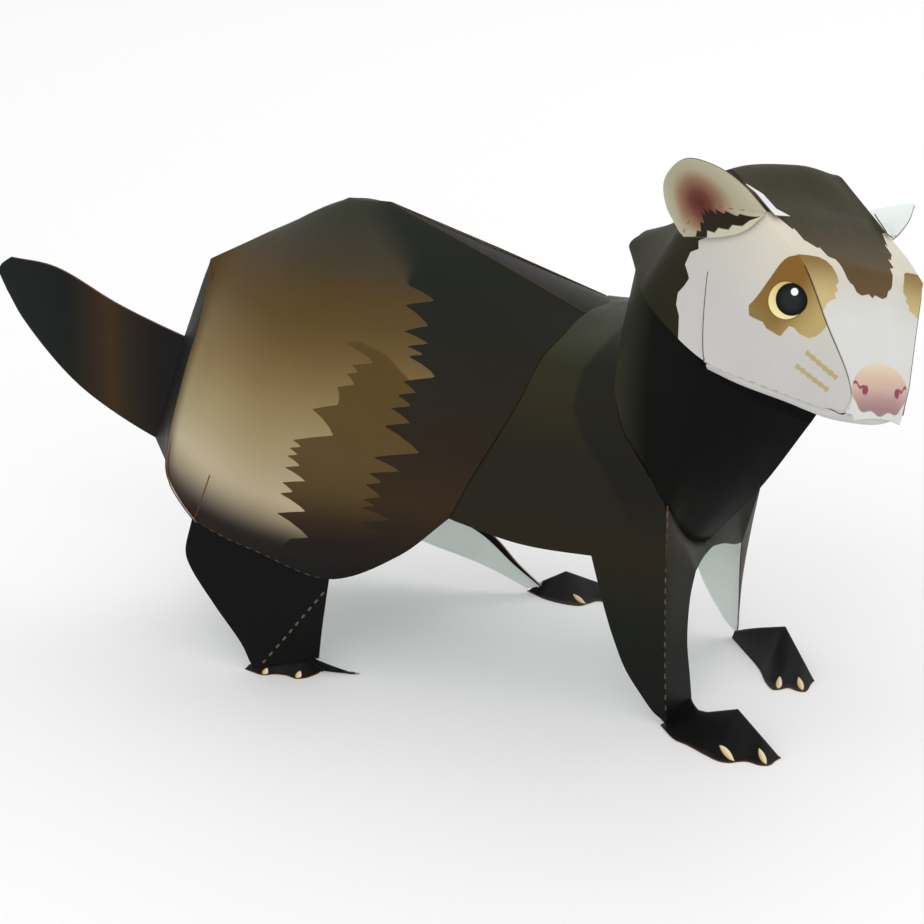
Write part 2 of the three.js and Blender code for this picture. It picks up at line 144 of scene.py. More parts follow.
def loft(ribs, steps, soft=True, straight_first=False):
    """A grid of points through several ribs; the first column can run straight."""
    ribs = np.array(ribs)
    columns = []
    for j in range(ribs.shape[1]):
        through = ribs[:, j]
        if soft and not (straight_first and j == 0):
            columns.append(rounded(through, steps))
        else:
            t = np.linspace(0, len(through) - 1, steps * (len(through) - 1) + 1)
            knots = np.arange(len(through))
            columns.append(np.stack([np.interp(t, knots, through[:, k]) for k in range(3)], 1))
    return np.stack(columns, 1)


def ease(value, start, end):
    """Goes smoothly from 0 at start to 1 at end."""
    t = np.clip((np.asarray(value, float) - start) / (end - start), 0, 1)
    return t * t * (3 - 2 * t)


def grid_normals(grid):
    """Unit normals of a grid of points."""
    across = np.gradient(grid, axis=1)
    down = np.gradient(grid, axis=0)
    normal = np.cross(down, across)
    return normal / np.maximum(np.linalg.norm(normal, axis=2, keepdims=True), 1e-9)


def facing(grid, inside):
    """Unit normals that point away from the point inside."""
    normal = grid_normals(grid)
    outward = np.sum(normal * (grid - np.array(inside, float)))
    return normal if outward > 0 else -normal


def tucked(grid, inside, depth=TUCK_DEPTH, reach=TUCK_REACH):
    """The grid with its first row sunk a little and carried on under its neighbour."""
    normal = facing(grid, inside)[0]
    back = grid[0] - grid[1]
    back /= np.maximum(np.linalg.norm(back, axis=1, keepdims=True), 1e-9)
    under = grid[0] + back * reach - normal * depth * 1.6
    edge = grid[0] - normal * depth
    return np.concatenate([under[None], edge[None], grid[1:]])


NO_FOLD = (50.0, 0.0, 0.0)
FOLD_REACH = 12
DASHED = 0
CUT = 1
WORN = 2


def fold_marks(grid, column):
    """Distance from a fold along one column, and distance along the fold."""
    steps = np.linalg.norm(np.diff(grid, axis=1), axis=2)
    reach = np.concatenate([np.zeros((len(grid), 1)), np.cumsum(steps, axis=1)], 1)
    across = reach - reach[:, column][:, None]
    run = along_line(grid[:, column])[:, None] + np.zeros_like(across)
    return np.stack([across, run, np.zeros_like(across)], 2)


def along_edge(grid, edge, kind, first=0, last=None):
    """Fold marks measured from one edge of a grid, over a part of that edge's length."""
    turned = edge in ("first row", "last row")
    flat = grid.transpose(1, 0, 2) if turned else grid
    marks = fold_marks(flat, 0 if edge.startswith("first") else -1)
    marks[..., 0] = np.abs(marks[..., 0])
    marks[..., 2] = kind
    kept = np.zeros(len(flat), bool)
    kept[first:last] = True
    marks[~kept, :, 0] = NO_FOLD[0]
    return marks.transpose(1, 0, 2) if turned else marks


def combined(*layers):
    """At each point the fold marks of the nearest line."""
    marks = layers[0]
    for other in layers[1:]:
        nearer = other[..., :1] < marks[..., :1]
        marks = np.where(nearer, other, marks)
    return np.where(marks[..., :1] > FOLD_REACH, np.array(NO_FOLD), marks)


# Pieces of card

class Card:
    """Grids of points, welded where they meet, that become one sheet of card."""

    def __init__(self, thickness=CARD, move=None):
        self.thickness = thickness
        self.move = move or (lambda points: np.asarray(points, float))
        self.keys = {}
        self.points = []
        self.layers = {"place": [], "fold": [], "mark": []}
        self.faces = []

    def vertex(self, p, place, fold, mark):
        key = tuple(np.round(p, 3) + 0.0)
        if key not in self.keys:
            self.keys[key] = len(self.points)
            self.points.append(p)
            self.layers["place"].append(place)
            self.layers["fold"].append(fold)
            self.layers["mark"].append(mark)
        k = self.keys[key]
        if abs(fold[0]) < abs(self.layers["fold"][k][0]):
            self.layers["fold"][k] = fold
        return k

    def add(self, places, inside, folds=None, marks=None):
        """Welds on a grid whose printed face looks away from the point inside."""
        grid = self.move(places)
        inside = self.move([inside])[0]
        rows, columns = grid.shape[:2]
        if folds is None:
            folds = np.zeros(grid.shape) + NO_FOLD
        if marks is None:
            marks = np.zeros(grid.shape)
        index = [[self.vertex(grid[i, j], tuple(places[i, j]), tuple(folds[i, j]),
                              tuple(marks[i, j]))
                  for j in range(columns)] for i in range(rows)]
        centre = (grid[1:, 1:] + grid[:-1, :-1]) / 2
        normal = np.cross(grid[1:, 1:] - grid[:-1, :-1], grid[:-1, 1:] - grid[1:, :-1])
        flip = np.sum(normal * (centre - inside)) < 0
        for i in range(rows - 1):
            for j in range(columns - 1):
                face = [index[i][j], index[i + 1][j], index[i + 1][j + 1], index[i][j + 1]]
                face = [k for n, k in enumerate(face) if k != face[n - 1]]
                if len(face) > 2:
                    self.faces.append(face[::-1] if flip else face)
        return self

    def solid(self):
        """Both faces and the cut edge, with the material number of each face."""
        middle = np.array(self.points)
        count = len(middle)
        units = [[] for _ in range(count)]
        for face in self.faces:
            a, b, c = (middle[face[0]], middle[face[1]], middle[face[-1]])
            if len(face) == 4:
                normal = np.cross(middle[face[2]] - a, c - b)
            else:
                normal = np.cross(b - a, c - a)
            length = np.linalg.norm(normal)
            if length > 1e-9:
                for k in face:
                    units[k].append(normal / length)
        offsets = np.zeros_like(middle)
        for k, near in enumerate(units):
            if near:
                total = np.sum(near, axis=0)
                total /= max(np.linalg.norm(total), 1e-9)
                least = min(float(np.dot(unit, total)) for unit in near)
                offsets[k] = total * self.thickness / 2 / max(least, 0.6)
        once = {}
        for face in self.faces:
            for n, a in enumerate(face):
                b = face[(n + 1) % len(face)]
                pair = (min(a, b), max(a, b))
                once[pair] = None if pair in once else (a, b)
        faces = [list(face) for face in self.faces]
        faces += [[k + count for k in reversed(face)] for face in self.faces]
        materials = [0] * len(self.faces) + [1] * len(self.faces)
        for edge in once.values():
            if edge:
                a, b = edge
                faces.append([b, a, a + count, b + count])
                materials.append(2)
        return np.vstack([middle + offsets, middle - offsets]), faces, materials


# Body pieces

RUMP_EDGE = [
    RUMP, (-91, 8, 98.5), (-93, 15, 84), (-95, 24, 63.5), (-94.3, 28, 54.5),
    (-87, 34, 48), FOLD_REAR,
]
SEAM_EDGE = [
    (SEAM_X, STRIP_HALF_WIDTH, SEAM_Z), (33, 20, 111), (29.7, 28, 106), (25.6, 34, 95),
    (19.3, 37, 83), (11.8, FLANK_HALF_WIDTH, 69.7), (5, FLANK_HALF_WIDTH, 56.5),
]
BODY_MIDDLE = (-20, 0, 80)


def half_rib(points, side, steps, softness):
    """A rib from the ridge down one side, rolled over the ridge by its softness."""
    plain = spaced(sided(side, points), steps)
    if not softness:
        return plain
    other = sided(-side, points[1:])[::-1]
    whole = spaced(other + sided(side, points), 2 * steps)
    return plain + (whole[steps:] - plain) * softness


def rear_body():
    card = Card()
    steps = 56
    rows = 12
    apex_row = 3 * rows
    for side, _ in SIDES:
        ribs = [
            (RUMP_EDGE, 0),
            ([(-70, 0, 127), (-73, 17, 108), (-74, 36, 75), (-69, 41, 41.3)], 0.6),
            ([HIP, (-46, 17, 124), (-50, HAUNCH_HALF_WIDTH, 82), (-56.5, 42, 38.3)], 0.6),
            ([APEX, (-29.5, 17, 125), (-31, HAUNCH_HALF_WIDTH, 80), FOLD_FRONT], 0.2),
            ([(4, STRIP_HALF_WIDTH / 2, 128.6), (0, 22, 114), (-5, 40, 80), (-11, 39, 42.5)], 0),
            (SEAM_EDGE, 0),
        ]
        ribs = [half_rib(points, side, steps, softness) for points, softness in ribs]
        grid = loft(ribs, rows, straight_first=True)
        folds = combined(
            along_edge(grid, "first row", CUT), along_edge(grid, "first column", CUT, apex_row),
            along_edge(grid, "last column", DASHED, 0, apex_row))
        from_rump = np.cumsum(np.linalg.norm(np.diff(grid, axis=0, prepend=grid[:1]), axis=2), 0)
        marks = np.stack([from_rump, from_rump * 0, from_rump * 0], -1)
        card.add(grid, BODY_MIDDLE, folds=folds, marks=marks)
    return card


def back_strip():
    tip = 0.03
    rows = []
    for t in np.linspace(tip, 1, 40):
        row = []
        for across in np.linspace(-1.06, 1.06, 13):
            crown = 1 - across * across
            forward = (SEAM_POINT_X - SEAM_X) * crown * t ** 6
            row.append((
                APEX[0] + (SEAM_X - APEX[0]) * t + forward,
                across * STRIP_HALF_WIDTH * t,
                APEX[2] + (SEAM_Z - APEX[2]) * t + crown * t * 0.8 - 0.35 * min(1, t * 8),
            ))
        rows.append(row)
    return Card().add(np.array(rows), BODY_MIDDLE)


def rump():
    card = Card()
    steps = 36
    for side, _ in SIDES:
        edge = spaced(sided(side, RUMP_EDGE), steps)
        middle = spaced([RUMP, TAIL_TOP, TAIL_LOW], steps, soft=False)
        middle[:, 1] = side * (TAIL_LAYER_GAP / 2 + CARD) * ease(np.arange(steps + 1), 0, 4)
        grid = loft([edge, middle], 14, soft=False)
        card.add(tucked(grid, (-70, 0, 70)), (-70, 0, 70))
    return card


TAIL_UPPER = [TAIL_TOP, (-123.5, 0, 97.3), (-146.5, 0, 107.5), (-162.5, 0, 109)]
TAIL_TIP = [(-162.5, 0, 109), (-166.3, 0, 106), (-166.3, 0, 102), (-164.5, 0, 98)]
TAIL_LOWER = [(-164.5, 0, 98), (-158.6, 0, 88.2), (-139.4, 0, 68.5), TAIL_LOW]


def tail():
    """Two layers of card, glued at the outline and a little apart in between."""
    card = Card()
    steps = 40
    upper = spaced([(-94, 0, 88)] + TAIL_UPPER, steps)
    lower = spaced([(-104, 0, 52)] + TAIL_LOWER[::-1], steps)
    tip_upper = spaced([TAIL_TIP[0], TAIL_TIP[1], (-167, 0, 104)], 5)[1:]
    tip_lower = spaced([TAIL_TIP[3], TAIL_TIP[2], (-167, 0, 104)], 5)[1:]
    ribs = [np.vstack([upper, tip_upper]), np.vstack([lower, tip_lower])]
    for side, _ in SIDES:
        grid = loft(ribs, 16, soft=False)
        rows = np.linspace(0, 1, grid.shape[0])
        pillow = 4 * rows * (1 - rows)
        grid[:, :, 1] = side * (CARD / 2 + 0.02 + TAIL_LAYER_GAP * pillow[:, None] ** 0.6)
        card.add(grid, (-130, 0, 85))
    return card


SHOULDER_RIBS = [
    [(SEAM_POINT_X, 0, 116.7)] + SEAM_EDGE,
    [(45.5, 0, 117.5), (44, 13, 115), (40, 30, 106), (33, 39, 85), (27.7, 38.5, 52.1)],
    [(NAPE_X, 0, NAPE_Z), (50, 13, 116.5), (54, 29, 110.5), (55, 36, 100), (56, 38.5, 88),
     (50.2, 38.5, 51.7)],
    [(NAPE_X + 0.5, 0, NAPE_Z + 0.2), (51, 13, 117), (54.8, 31, 110), (55.8, 36, 100.4),
     (58.7, 38, 91.5), (64.3, 38, 82.5), (71.6, 37, 70)],
]
LEG_REAR = [
    (50.2, 38.5, 51.7), (51.6, 38, 45.6), (54.5, 38, 35), (57.5, 38, 25.9), (61.1, 37.6, 16.9),
    (65.9, 37, 9.3), (69.8, 36.6, 4.1), (73.4, 36, 1.2),
]
LEG_CREASE = {
    RIGHT: [(CREASE_X, 37, BELLY_Z), (72.7, 37, 35), (73, 36.5, 16), (73.6, 36, 0.5)],
    LEFT: [(FAR_CREASE_X, 37, BELLY_Z), (76.4, 37, 37), (74.2, 36.7, 20), (73.4, 36, 2)],
}
LEG_INNER = {
    RIGHT: [(77.2, 23, 45), (76.6, 25.6, 38), (76, 25.6, 24), (76.6, 24, 12), (77, 22.6, 3)],
    LEFT: [(77.4, 24, 37.2), (76.5, 26.2, 31), (75.8, 28.4, 22), (75, 31.4, 13), (73.9, 35, 3.6)],
}
CHEST_TOP = [(72.6, 37, 70), (72.8, 27, 60), (72.8, 14, 51), (72.4, 0, 46.8)]
CHEST_LOW = {
    RIGHT: [(77.2, 23, 45), (76.6, 16, 45.6), (76, 8, 45.2), (75.6, 0, 44.4)],
    LEFT: [(77.4, 24, 37.2), (77, 19, 38.2), (76.2, 9, 42), (75.6, 0, 44.4)],
}
CHEST_MIDDLE = (40, 0, 70)


def forebody():
    """Shoulders, front legs and the web between them, cut from one sheet."""
    card = Card()
    steps = 48
    for side, _ in SIDES:
        ribs = [spaced(sided(side, rib), steps) for rib in SHOULDER_RIBS[:-1]]
        ribs.append(spaced(sided(side, SHOULDER_RIBS[-1] + LEG_CREASE[side][:1]), steps))
        grid = loft(ribs, 12)
        card.add(tucked(grid, CHEST_MIDDLE, depth=0.4), CHEST_MIDDLE)
        top = spaced(grid[24:, -1], 12, soft=False)
        rear = spaced(sided(side, LEG_REAR), 60)
        crease = spaced(sided(side, LEG_CREASE[side]), 60)
        inner = spaced(sided(side, LEG_INNER[side]), 60)
        panel = leg_panel(rear, crease, top)
        card.add(panel, (40, 0, 30), folds=fold_marks(panel, 12))
        flap = loft([crease, inner], 8, soft=False).transpose(1, 0, 2)
        card.add(flap, (60, 0, 25), folds=fold_marks(flap, 0))
        low = np.vstack([np.linspace(crease[0], inner[0], 9),
                         spaced(sided(side, CHEST_LOW[side]), 16)[1:]])
        high = spaced(sided(side, CHEST_TOP), len(low) - 1)
        web = loft([low, high], 12, soft=False)
        card.add(web, (60, 0, 60), folds=fold_marks(web, 0))
    return card


def leg_panel(rear, crease, top):
    """The outer face of a front leg, between its rear edge, its crease and its top."""
    t = np.linspace(0, 1, len(top))[None, :, None]
    grid = rear[:, None] * (1 - t) + crease[:, None] * t
    fade = ease(np.linspace(0, 1, len(rear)), 0.2, 0)[:, None, None]
    return grid + (top - grid[0]) * fade


# Head pieces

def head_matrix():
    """Turns points of the head's own frame into the drawing's."""
    turn = Matrix.Rotation(HEAD_TURN, 3, "Z")
    nod = Matrix.Rotation(HEAD_NOD, 3, "Y")
    cock = Matrix.Rotation(HEAD_COCK, 3, "X")
    return np.array(turn @ nod @ cock)


HEAD_AXES = head_matrix()


def placed(points):
    """Head points (F, L, H) in the drawing's frame."""
    return np.asarray(points, float) @ HEAD_AXES.T + HEAD_PLACE


# Head sections: distance from the nape, then half width and height at the low edge and bend
HEAD_SECTIONS = [
    (2, (6, 0), (5, 4)), (12, (13, 0), (11, 14)), (21, (19.5, 0), (18, 25)),
    (29, (24.5, 0), (25, 45)), (45, (28, 0.2), (30, 45.5)), (60, (28.5, 1.5), (30.5, 43.5)),
    (69, (26.5, 4), (29, 42)), (81, (21, 8), (21.5, 32)), (93, (15.5, 12), (14.3, 22)),
    (99, (12.3, 13.7), (11.4, 13.6)),
]
DART_F = 45
DART_SHARE = 0.54
DART_END_F = 60
SLIT_F = 69
CROWN_END_F = 99
CHEEK_END_F = 95
CHEEK_BULGE = 1.0
CROWN_RISE = 1.2
SLIT_LIFT = 0.42
DART_LIFT = 0.75
REAR_ARCH = 1.6
CORNER_SECTION = 3
LEFT_CORNER = (29, 23.5, 50)


def bend_line(side):
    """Smooth line of the bend between the crown and one cheek."""
    points = [(f, half, h) for f, _, (half, h) in HEAD_SECTIONS]
    if side == LEFT:
        points[CORNER_SECTION] = LEFT_CORNER
    return np.array(points, float) if side == LEFT else rounded(points, 40)


LOW_LINE = rounded([(f, half, h) for f, (half, h), _ in HEAD_SECTIONS], 40)
BEND_LINES = {side: bend_line(side) for side in (RIGHT, LEFT)}


def on_line(line, f):
    """Half width and height of a head line at the distance f."""
    f = np.asarray(f, float)
    return np.interp(f, line[:, 0], line[:, 1]), np.interp(f, line[:, 0], line[:, 2])


def cheek_point(f, share, side, lift=0.0):
    """A point on the side of the head, share 0 at the bend and 1 at the low edge."""
    bend_l, bend_h = on_line(BEND_LINES[side], f)
    low_l, low_h = on_line(LOW_LINE, f)
    l = bend_l + (low_l - bend_l) * share + CHEEK_BULGE * 4 * share * (1 - share) + lift
    h = bend_h + (low_h - bend_h) * share
    return np.stack(np.broadcast_arrays(f, side * l, h), -1)


def dart_line(share):
    """Distance f of the dart at each share of the cheek's height."""
    return DART_F + (DART_END_F - DART_F) * np.clip((share - DART_SHARE) / (1 - DART_SHARE), 0, 1)


def cheek_end(share):
    """The cheek's front edge, with its rounded lower corner."""
    return CHEEK_END_F + 1.6 * np.sin(math.pi * share ** 0.8) - 4.4 * share ** 9


REAR_STEPS = 40
MID_STEPS = 24
FRONT_STEPS = 28
SHARES = np.linspace(0, 1, 29)
HEAD_CENTRE = (45, 0, 12)


def crown_point(f, across):
    """A point on the crown, from -1 at the right bend to 1 at the left one."""
    right_l, right_h = on_line(BEND_LINES[RIGHT], f)
    left_l, left_h = on_line(BEND_LINES[LEFT], f)
    l = np.where(across < 0, right_l, left_l) * across
    share = (across + 1) / 2
    arch = REAR_ARCH * (1 - np.abs(across) ** 5) * ease(across, 1.1, 0.1) * ease(f, 42, 29)
    rise = CROWN_RISE * (1 - across ** 2) * ease(across, 1.4, 0.6) + arch
    return np.stack(np.broadcast_arrays(f, l, right_h + (left_h - right_h) * share + rise), -1)


def head_marks(grid, on_cheek):
    """Run along the crown, distance round the head from its middle, and 1 on a cheek."""
    f, l, h = grid[..., 0], grid[..., 1], grid[..., 2]
    bend_l, bend_h = on_line(BEND_LINES[RIGHT], f)
    run = np.interp(f, BEND_LINES[RIGHT][:, 0], along_line(BEND_LINES[RIGHT]))
    girth = bend_l + np.maximum(bend_h - h, 0) if on_cheek else np.abs(l)
    return np.stack([run, girth, np.full_like(run, on_cheek)], -1)


def hood():
    """The crown and both cheeks, one sheet as far forward as the slits."""
    card = Card(move=placed)
    front_f = np.linspace(SLIT_F, CROWN_END_F, FRONT_STEPS + 1)
    lap_share = (0.22 + 0.7 * ease(front_f, 84, 92)) * ease(front_f, CROWN_END_F, 95.6)
    crown_f = np.concatenate([
        np.linspace(2, DART_F, REAR_STEPS + 1),
        np.linspace(DART_F, SLIT_F, MID_STEPS + 1)[1:], front_f[1:]])
    grid = crown_point(crown_f[:, None], np.linspace(-1, 1, 41)[None])
    card.add(grid, HEAD_CENTRE, marks=head_marks(grid, 0))
    for side, _ in SIDES:
        rear = cheek_point(2 + (dart_line(SHARES)[None] - 2)
                           * np.linspace(0, 1, REAR_STEPS + 1)[:, None], SHARES[None], side)
        card.add(rear, HEAD_CENTRE, marks=head_marks(rear, 1))
        dart, start = dart_line(SHARES)[None], SLIT_F + 5 * SHARES[None]
        t = np.linspace(0, 1, MID_STEPS + 1)[:, None]
        raised = DART_LIFT * ease(SHARES, DART_SHARE, 1)[None] * (1 - ease(t, 0, 0.9))
        mid = cheek_point(dart + (start - dart) * t, SHARES[None], side, raised)
        t = np.linspace(0, 1, FRONT_STEPS + 1)[1:, None]
        front = cheek_point(start + (cheek_end(SHARES)[None] - start) * t, SHARES[None], side,
                            SLIT_LIFT * ease(t, 0, 0.16))
        cheek = np.concatenate([mid, front])
        dart_column = int(DART_SHARE * (len(SHARES) - 1))
        folds = combined(
            along_edge(cheek, "first row", CUT, dart_column),
            along_edge(cheek, "first column", CUT, MID_STEPS),
            along_edge(cheek, "last column", DASHED))
        card.add(cheek, HEAD_CENTRE, folds=folds, marks=head_marks(cheek, 1))
        lap = np.stack([
            crown_point(front_f, np.full_like(front_f, side)),
            cheek_point(front_f, lap_share, side, -0.5)], 1)
        card.add(lap, HEAD_CENTRE, marks=head_marks(lap, 0))
        under = cheek_point(dart[:, 15:] + np.array([[-3], [0], [3]]), SHARES[None, 15:], side,
                            -0.4)
        card.add(under, HEAD_CENTRE, marks=head_marks(under, 1))
    return card


def jaw():
    rows = []
    for f, (half, h), _ in HEAD_SECTIONS:
        if 60 <= f <= 93:
            half -= 0.9
            rows.append(spaced([
                (f, -half, h + 0.4), (f, -half + 1, h - 1.6), (f, -half + 5, h - 2.8),
                (f, half - 5, h - 2.8), (f, half - 1, h - 1.6), (f, half, h + 0.4)], 32))
    rows.append(spaced([(96.4, -13, 13.6), (98.6, 0, 13.2), (96.4, 13, 13.6)], 32))
    rows.append(spaced([(96.2, -12.8, 15.8), (98, 0, 15.4), (96.2, 12.8, 15.8)], 32))
    return Card(move=placed).add(loft(rows, 8), (80, 0, 22))


HEAD_BASE = [
    (2, 0.4, -0.9), (12, 11, -0.9), (21, 17.5, -0.9), (35, 23, -0.9), (46, 25, -1.0),
    (60, 20, -2.8), (72, 10, -2.6), (82, 0, -0.6),
]
NECK_LOW = [
    (NAPE_X + 0.5, 0, NAPE_Z + 0.6), (50.7, 13, 117.2), (54.7, 31, 110.2), (55.8, 36, 100.6),
    (58.9, 38, 91.6), (64.6, 38, 82.6), (72.4, 36.9, 70), (73.4, 27, 60), (73.6, 14, 51),
    (73.4, 0, 45.6),
]
NECK_INSIDE = (75, -12, 85)
NECK_FRONT = np.array([0.82, 0, -0.57])
EDGE_SWELL = 1.4
NECK_SWELL = {RIGHT: EDGE_SWELL, LEFT: 3.6}
NECK_TUCK = 5


def neck():
    card = Card()
    steps = 64
    for side, _ in SIDES:
        low = spaced(sided(side, NECK_LOW), steps)
        base = np.array([(f, side * l, h) for f, l, h in HEAD_BASE])
        high = placed(spaced(base, steps))
        hidden = placed(spaced(base * (1, 0.9, 1) + (0, 0, NECK_TUCK), steps))
        t = np.linspace(0, 1, steps + 1)
        swell = EDGE_SWELL + (NECK_SWELL[side] - EDGE_SWELL) * (1 - ease(t, 0.86, 1))
        middle = (low + high) / 2 + (swell * ease(t, 0.6, 0.82))[:, None] * NECK_FRONT
        grid = tucked(loft([low, middle, high], 20), NECK_INSIDE, 0.5, 3.0)
        grid = np.concatenate([grid, hidden[None]])
        card.add(grid, NECK_INSIDE)
    return card


EAR_FOOT = [(32, 30, 23.5), (42.5, 31.6, 31), (49, 32, 38), (51.5, 32, 45.5)]
EARS = {
    RIGHT: {
        "pocket": (31, 32.5, 35.5),
        "rim": [(30.5, 31, 24), (25.5, 36, 28.5), (23.5, 41, 35.5), (29.5, 46, 46.3),
                (37, 42, 49.3), (44, 37.5, 49), (51.5, 32.5, 46.5)],
    },
    LEFT: {
        "pocket": (33, 32.5, 37.5),
        "rim": [(30.5, 31, 24), (28, 36, 30.5), (30, 42, 38.5), (41.5, 46, 52),
                (45, 42, 52), (49, 37, 50), (51.5, 32.5, 46.5)],
    },
}
EAR_FOLD_SHARE = 0.4
EAR_TABS = {
    RIGHT: [[(52.6, 29.6, 46.2), (48, 30.2, 46.8), (43.5, 29.6, 47), (39.5, 30.4, 47)],
            [(52.4, 22.6, 46.6), (49.6, 26.2, 46.6), (43.6, 26.6, 47.1), (39.6, 29.6, 47)]],
    LEFT: [[(52, 29.6, 45.6), (48, 30.2, 46.2), (45, 29.6, 46.6), (42.5, 30.4, 47)],
           [(51.8, 26.6, 46.2), (49.6, 27.6, 46.4), (45.6, 28, 47), (42.6, 29.6, 47)]],
}


def ear(side):
    steps = 48
    shape = EARS[side]
    foot_line = spaced(sided(side, EAR_FOOT), steps)
    outline = spaced(sided(side, shape["rim"]), steps)
    pocket = np.array(sided(side, [shape["pocket"]])[0], float)
    t = np.linspace(0, 1, steps + 1)[:, None]
    depth = np.maximum(np.sin(math.pi * t), 0) ** 0.8
    fold = foot_line + (outline - foot_line) * 0.3
    fold = fold + (pocket - fold) * depth * 0.55
    card = Card(move=placed)
    behind = (40, side * 20, 60)
    for ribs, steps_out, shares in (((foot_line, fold), 12, (0, EAR_FOLD_SHARE)),
                                    ((fold, outline), 18, (EAR_FOLD_SHARE, 1))):
        grid = loft(ribs, steps_out, soft=False)
        share = np.linspace(*shares, steps_out + 1)[:, None] + np.zeros(grid.shape[:2])
        along = t[:, 0][None] + np.zeros(grid.shape[:2])
        fold_row = steps_out if shares[0] == 0 else 0
        folds = fold_marks(grid.transpose(1, 0, 2), fold_row).transpose(1, 0, 2)
        card.add(grid, behind, folds=folds, marks=np.stack([along, share, along * 0], -1))
    return card


def ear_tab(side):
    """The unprinted glue tab at the front of an ear, flat on the crown."""
    rows = [spaced(sided(side, row), 24, soft=False) for row in EAR_TABS[side]]
    return Card(move=placed).add(loft(rows, 6, soft=False), HEAD_CENTRE)


# Hind legs and feet

HIND_LEGS = {
    "right": (RIGHT, [FOLD_REAR, (-82, 40, 34), (-80, 41, 29.5), (-71, 43, 18.8),
                      (-61, 45, 8), (-58.4, 45.6, 3.6), (-57, 46, 1.4)],
              [FOLD_FRONT, (-34, 41.5, 25), (-35.2, 42, 15.8), (-37, 40.5, 5.6)]),
    "left": (LEFT, [FOLD_REAR, (-77, 40, 32), (-62, 41, 22), (-37, 42, 14), (-15, 43, 8),
                    (-1, 45, 1.5)],
             [FOLD_FRONT, (-25, 42, 26.5), (-12.5, 43.5, 19), (-4, 45, 9.5),
              (3.4, 46.4, 2.6)]),
}


def hind_leg(side, rear, front):
    grid = loft([spaced(sided(side, rear), 60), spaced(sided(side, front), 60)], 40, soft=False)
    return Card().add(grid, (-50, 0, 30), folds=along_edge(grid, "first column", DASHED))


def shin_hem():
    """The printed hem glued inside the front edge of the far hind leg."""
    side, rear, front = HIND_LEGS["left"]
    edge = spaced(sided(side, front), 60)[22:]
    inner = edge + (spaced(sided(side, rear), 60)[22:] - edge) * 0.1
    return Card().add(loft([edge, inner], 3, soft=False) - (0, 0.5, 0), (0, 90, 20))


# Each foot: its ridge from ankle to toes, the toes' cut edge, the foot of its steep side, and
# the claws as a tip and the way back from it
FLOOR_GAP = 0.2
STEEP_SIDE = 0.7
CLAW_HALF_WIDTH = 0.85
FEET = {
    "front_foot_right": {
        "ridge": [(76.2, -22.4, 4.4), (78.6, -25.6, 3.4), (81.4, -29.6, 3.6), (85, -32.5, 4.8),
                  (95.6, -36.7, 9.4), (111, -45, 0.3)],
        "edge": [(72, -36.4), (79, -44.3), (83.1, -46.2), (90.5, -50.8), (95.5, -53.3),
                 (98.6, -53), (100.6, -51.4), (103, -50.4), (106.9, -51.4), (109.4, -50.4),
                 (110.4, -46.4)],
        "claws": [((99.6, -52), (-6.0, 4.7)), ((108.6, -50.4), (-3.8, 5.2))],
    },
    "front_foot_left": {
        "ridge": [(73.2, 33.9, 2.4), (78.5, 30.8, 5.2), (83, 28.6, 7.2), (92.2, 24.3, 10.8),
                  (105.4, 11.2, 0.3)],
        "edge": [(72.3, 34.1), (78.8, 25.5), (87.3, 13.8), (92.4, 4.4), (95.8, 0.6), (97.6, 1.6),
                 (99.6, 3.8), (102.4, 2.6), (105, 2.8), (105.2, 9.6)],
        "claws": [((97.0, 1.5), (-1.2, 5.6)), ((104.2, 3.2), (-3, 5.8))],
    },
    "hind_foot_right": {
        "ridge": [(-59, -44.6, 1.2), (-50, -42.4, 3.4), (-42.7, -39.6, 5.4), (-36.7, -37.8, 0.3)],
        "edge": [(-60, -45.6), (-57, -46.6), (-53, -47.6), (-49.5, -45.6), (-46, -45.2),
                 (-42.2, -46.2), (-39.8, -44.6), (-38, -41.2), (-37.2, -38.8)],
        "steep": [(-57, -42), (-50, -38.6), (-42, -36.4), (-33, -35.4), (-25.2, -35.9),
                  (-29.9, -36.6), (-35.6, -37.2)],
        "claws": [((-52.8, -47.6), (0.3, 2.6)), ((-42.2, -46.2), (0.3, 2.6)),
                  ((-28, -36.2), (-6, 0.8))],
    },
    "hind_foot_left": {
        "ridge": [(2, 46, 3.2), (6, 49.8, 4.6), (9.6, 52.4, 6.2), (28.5, 56.5, 0.3)],
        "edge": [(-1.6, 46.1), (6.3, 41.7), (12.4, 40.3), (18.6, 40.6), (20.8, 43.4),
                 (22.6, 46.4), (26.5, 46.8), (29.8, 49), (30.6, 52), (29.2, 55.2)],
        "claws": [((20.2, 42.4), (-5.4, 2.8))],
    },
}


def foot(shape):
    steps = 60
    ridge = spaced(shape["ridge"], steps, soft=False)
    edge = spaced([(x, y, FLOOR_GAP) for x, y in shape["edge"]], steps)
    if "steep" in shape:
        steep = spaced([(x, y, FLOOR_GAP) for x, y in shape["steep"]], steps)
    else:
        away = (ridge - edge) * (1, 1, 0)
        away /= np.maximum(np.linalg.norm(away, axis=1, keepdims=True), 1e-9)
        narrow = ease(np.linspace(0, 1, steps + 1), -0.1, 0.3)[:, None]
        steep = ridge + away * (STEEP_SIDE * ridge[:, 2:] + CARD) * narrow
        steep[:, 2] = FLOOR_GAP
    card = Card()
    low = ridge.mean(0) - (0, 0, 30)
    for outline in (edge, steep):
        grid = loft([ridge, outline], 16, soft=False)
        share = np.linspace(0, 1, 17)[:, None]
        grid[..., 2] = np.maximum(FLOOR_GAP, ridge[None, :, 2] * (1 - share / 0.9))
        card.add(grid, low, folds=along_edge(grid, "first row", WORN))
    return card


# Studio light: what a print's tones are worked back from
LIGHT = 1.06
GLARE = 0.012
INK_LEAST = 0.0035

# Tones are written as the 0 to 255 levels that they show in the photo's light
CREASE_TONE = (122, 104, 82)
CUT_TONE = (88, 58, 36)
WORN_TONE = (96, 92, 84)
DASH = 1.7


